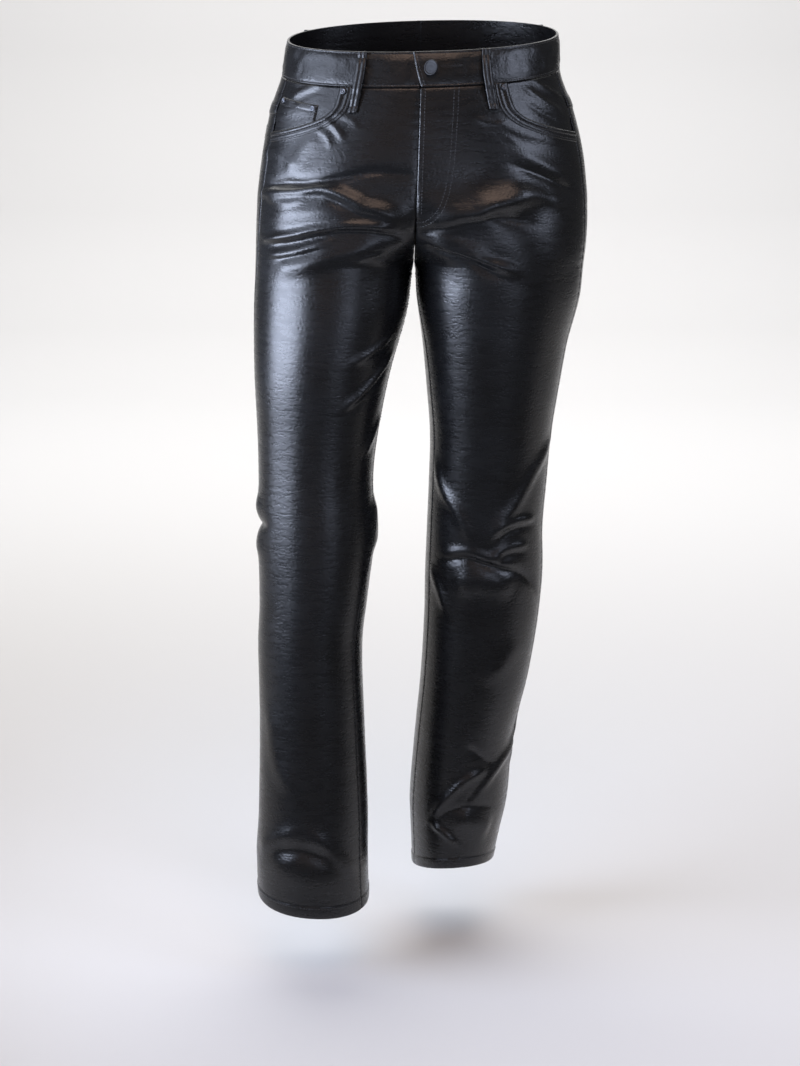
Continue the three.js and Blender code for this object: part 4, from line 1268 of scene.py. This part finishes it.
def leather(name, dark, light, roughness, crinkle):
    """Cow leather, finish-coated in black: the coat gives broad soft-edged highlights, and the
    fine grain and drawn-out creases under it break them into short level streaks."""
    material, tree, shader = new_material(name)
    shader.inputs["IOR"].default_value = 1.48
    place = add(tree, "ShaderNodeTexCoord")
    # Level streaks about 5 mm high and 20 mm long, and pebbled grain a little coarser than real
    stretch = add(tree, "ShaderNodeMapping")
    stretch.inputs["Scale"].default_value = (1.0, 1.0, 4.5)
    streak = noise(tree, 20, 3.0, 0.55)
    grain = noise(tree, 2.6, 2.0, 0.6)
    link(tree, place, "Object", stretch, "Vector")
    link(tree, stretch, "Vector", streak, "Vector")
    link(tree, place, "Object", grain, "Vector")
    # Faint clouds in the dye
    cloud = noise(tree, 60, 3.0)
    shade = add(tree, "ShaderNodeMapRange", values={"From Min": 0.3, "From Max": 0.7})
    link(tree, place, "Object", cloud, "Vector")
    link(tree, cloud, "Fac", shade, "Value")
    two_tones(tree, shader, shade, "Result", dark, light)
    uneven_gloss(tree, shader, streak, roughness, (-0.04, 0.06), 0.25, 0.75)
    crease = add(tree, "ShaderNodeBump", values={"Strength": crinkle, "Distance": 0.0022})
    pebble = add(tree, "ShaderNodeBump", values={"Strength": 0.6, "Distance": 0.0006})
    link(tree, streak, "Fac", crease, "Height")
    link(tree, grain, "Fac", pebble, "Height")
    link(tree, crease, "Normal", pebble, "Normal")
    link(tree, pebble, "Normal", shader, "Normal")
    return material


def thread():
    """Bonded polyester sewing thread, dyed black: a satin twist that catches small glints."""
    material, tree, shader = new_material("black polyester thread")
    shader.inputs["Roughness"].default_value = 0.42
    shader.inputs["Sheen Weight"].default_value = 0.2
    place = add(tree, "ShaderNodeTexCoord")
    fibre = noise(tree, 0.9, 2.0)
    link(tree, place, "Object", fibre, "Vector")
    two_tones(tree, shader, fibre, "Fac", "#0e0f12", "#24262b")
    return material


def lacquered_metal(name, dark, light, roughness, metallic):
    """Stamped brass under a dark matte lacquer: even and grey, a little lighter where rubbed."""
    material, tree, shader = new_material(name)
    shader.inputs["Metallic"].default_value = metallic
    place = add(tree, "ShaderNodeTexCoord")
    speck = noise(tree, 0.8, 3.0)
    dents = add(tree, "ShaderNodeBump", values={"Strength": 0.15, "Distance": 0.0001})
    link(tree, place, "Object", speck, "Vector")
    two_tones(tree, shader, speck, "Fac", dark, light)
    uneven_gloss(tree, shader, speck, roughness, (-0.08, 0.08))
    link(tree, speck, "Fac", dents, "Height")
    link(tree, dents, "Normal", shader, "Normal")
    return material


# Camera, floor and light

CAMERA_PLACE = (-0.0243, -2.5, 0.013)
CAMERA_TILT = math.radians(12.3)
CAMERA_LENS = 36 * 2165 / 1066
FLOOR_Z = -1.045


def make_camera():
    data = bpy.data.cameras.new("camera")
    data.sensor_fit = "AUTO"
    data.sensor_width = 36
    data.lens = CAMERA_LENS
    camera = put_in_scene("camera", data)
    camera.location = CAMERA_PLACE
    camera.rotation_euler = (math.pi / 2 - CAMERA_TILT, 0, 0)
    bpy.context.scene.camera = camera


def make_floor():
    """A wide pale floor that sweeps up into a backdrop far behind."""
    flat = [(-0.45, 0), (0, 0), (1.5, 0), (3, 0), (4.4, 0)]
    sweep = flat + [(5.2, 0.12), (5.8, 0.5), (6.1, 1.1), (6.2, 2), (6.2, 6)]
    across = [-3.2, -1.6, 0, 1.6, 3.2]
    points = [(x, y, FLOOR_Z + up) for y, up in sweep for x in across]
    faces = grid_faces(len(sweep), len(across)).tolist()
    mesh = bpy.data.meshes.new("floor")
    mesh.from_pydata(points, [], faces)
    mesh.polygons.foreach_set("use_smooth", [True] * len(mesh.polygons))
    floor = put_in_scene("floor", mesh)
    material, _, shader = new_material("pale studio floor")
    shader.inputs["Base Color"].default_value = linear("#d6d5d4")
    shader.inputs["Roughness"].default_value = 0.9
    mesh.materials.append(material)


LIGHT_COLUMNS = ("name", "place", "aim", "width", "height", "radiance", "colour", "spread in degrees")
LIGHTS = [
    ("left window", (-1.05, -0.45, -0.26), (-0.1, -0.05, -0.26), 1.05, 0.5, 8.4, "#dbe6ff", 120),
    ("left window, upper pane", (-1.05, -0.45, 0.42), (-0.1, -0.05, 0.42), 1.05, 0.56, 2.4, "#dbe6ff", 120),
    ("right softbox", (1.3, -0.8, 0.36), (0, 0, 0.16), 0.6, 0.9, 5.4, "#dbe5ff", 180),
    ("low front panel", (0.43, -1.3, -0.38), (-0.1, 0, -0.38), 0.42, 0.32, 3.4, "#dbe5ff", 180),
    ("warm front fill", (0.1, -2.1, 2.2), (0, 0, -0.2), 1.9, 1.7, 2.9, "#ffdac4", 180),
    ("warm wall", (-0.5, -3.4, 0.1), (-0.2, 0, 0.0), 2.0, 1.0, 0.35, "#ffd8c0", 180),
    ("overhead", (0, 3.1, 3.0), (0, 3.101, 0), 6.0, 5.2, 2.6, "#ffffff", 180),
    ("backdrop lamp", (0, 2.4, 2.4), (0, 6, 0.4), 3.4, 1.8, 3.4, "#f8faff", 180),
]
BACKDROP = "#f4f4f4"
ROOM_SHADE = 0.1


def make_lights():
    for row in LIGHTS:
        light = dict(zip(LIGHT_COLUMNS, row))
        data = bpy.data.lights.new(light["name"], "AREA")
        data.shape = "RECTANGLE"
        data.size, data.size_y = light["width"], light["height"]
        data.energy = light["radiance"] * math.pi * light["width"] * light["height"]
        data.color = linear(light["colour"])[:3]
        data.spread = math.radians(light["spread in degrees"])
        lamp = put_in_scene(light["name"], data)
        lamp.location = light["place"]
        toward = Vector(light["aim"]) - Vector(light["place"])
        lamp.rotation_euler = toward.to_track_quat("-Z", "Y").to_euler()
    world = bpy.data.worlds.new("studio")
    world.use_nodes = True
    tree = world.node_tree
    tree.nodes.clear()
    out = add(tree, "ShaderNodeOutputWorld")
    seen = add(tree, "ShaderNodeBackground", values={"Color": linear(BACKDROP), "Strength": 1.0})
    room = add(tree, "ShaderNodeBackground", values={"Color": linear(BACKDROP), "Strength": ROOM_SHADE})
    path = add(tree, "ShaderNodeLightPath")
    both = add(tree, "ShaderNodeMixShader")
    link(tree, path, "Is Camera Ray", both, "Fac")
    tree.links.new(room.outputs[0], both.inputs[1])
    tree.links.new(seen.outputs[0], both.inputs[2])
    link(tree, both, "Shader", out, "Surface")
    bpy.context.scene.world = world
    bpy.context.scene.view_settings.view_transform = "Standard"


# Putting it together


def dress(piece, material, slot_name, *nodes):
    """Gives a piece its material and body, and hides the solids it stands for; the slot name is not used.
    """
    if material is not None:
        piece.data.materials.clear()
        piece.data.materials.append(material)
    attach(piece, BODY)
    if nodes:
        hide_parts(*nodes)
    return piece


make_camera()
make_floor()
make_lights()

black_leather = leather("coated black leather", "#0e0e0f", "#161719", 0.27, 0.1)
band_leather = leather("coated black leather, padded band", "#0e0e0f", "#161719", 0.28, 0.08)
facing_leather = leather("coated black leather, pocket facing", "#0e0e0f", "#161719", 0.27, 0.15)
loop_leather = leather("coated black leather, stitched strip", "#0e0e0f", "#161719", 0.3, 0.25)
black_thread = thread()
button_metal = lacquered_metal("matte dark lacquered metal", "#17181b", "#2b2d31", 0.55, 0.4)
rivet_metal = lacquered_metal("satin dark lacquered metal", "#383b40", "#6c6f75", 0.4, 0.75)

leathers = {
    "leather": black_leather,
    "facing_leather": facing_leather,
    "waistband_leather": band_leather,
}
# Pieces made for both sides: maker, slot, solid, and flat cut as width, length and area in metres
PAIRED_PIECES = [
    (front_panel, "leather", "front", (0.27, 0.97, 0.19)),
    (back_panel, "leather", "back", (0.33, 0.94, 0.25)),
    (yoke_panel, "leather", "yoke", (0.235, 0.08, 0.0165)),
    (pocket_facing, "facing_leather", "pocket_facing", (0.13, 0.09, 0.009)),
    (back_pocket, "leather", "back_pocket", (0.135, 0.14, 0.017)),
    (mouth_band, "leather", None, None),
    (waistband, "waistband_leather", "waistband", (0.42, 0.038, 0.0155)),
]
for side in ("right", "left"):
    for maker, slot_name, solid, cut in PAIRED_PIECES:
        solids = [f"{solid}_{side}"] if solid else []
        piece = dress(maker(side), leathers[slot_name], slot_name, *solids)

dress(band_underlap(), band_leather, "waistband_leather")
coin = dress(coin_pocket(), facing_leather, "facing_leather", "coin_pocket")

for name, (side, angle) in BELT_LOOPS.items():
    dress(belt_loop(name, side, angle), loop_leather, "loop_leather", name)

dress(button(), button_metal, "button_metal", "button")
for side in ("right", "left"):
    angle = 119.2 + MOUTH_TURN[side]
    z = float(waist_at(side, angle)) - 5.2
    nib = rivet(f"mouth_rivet_{side}", side, z, angle, 2.3)
    dress(nib, rivet_metal, "rivet_metal", f"rivet_pocket_{side}")
for name, z, angle in (("outer", -30, 154.5), ("inner", -38, 132.4)):
    seat = float(coin_lift(np.array(float(z)), np.array(float(angle)))) + 1.3
    nib = rivet(f"coin_rivet_{name}", "right", z, angle, seat)
    dress(nib, rivet_metal, "rivet_metal", f"rivet_coin_{name}")

stitching = stitch_tree()


def sew(name, slot_name, rows, **sizes):
    dress(stitch_rows(name, stitching, rows, black_thread, **sizes), None, slot_name)


for side in ("right", "left"):
    rows = mouth_rows(side) + seam_side_rows(side) + hem_rows(side) + back_pocket_rows(side)
    sew(f"panel_stitches_{side}", "leather", rows + inseam_rows(side))
    sew(f"band_stitches_{side}", "waistband_leather", band_rows(side))
sew("fly_stitches", "leather", fly_rows())
sew("coin_stitches", "facing_leather", coin_rows(), pitch=2.9, length=2.3, width=0.75)
loop_thread = [row for place in BELT_LOOPS.values() for row in loop_rows(*place)]
sew("loop_stitches", "loop_leather", loop_thread, pitch=2.8, length=2.3, width=0.8)
sew("buttonhole_stitches", "waistband_leather", buttonhole_rows(), pitch=0.8, length=1.1, width=0.6)
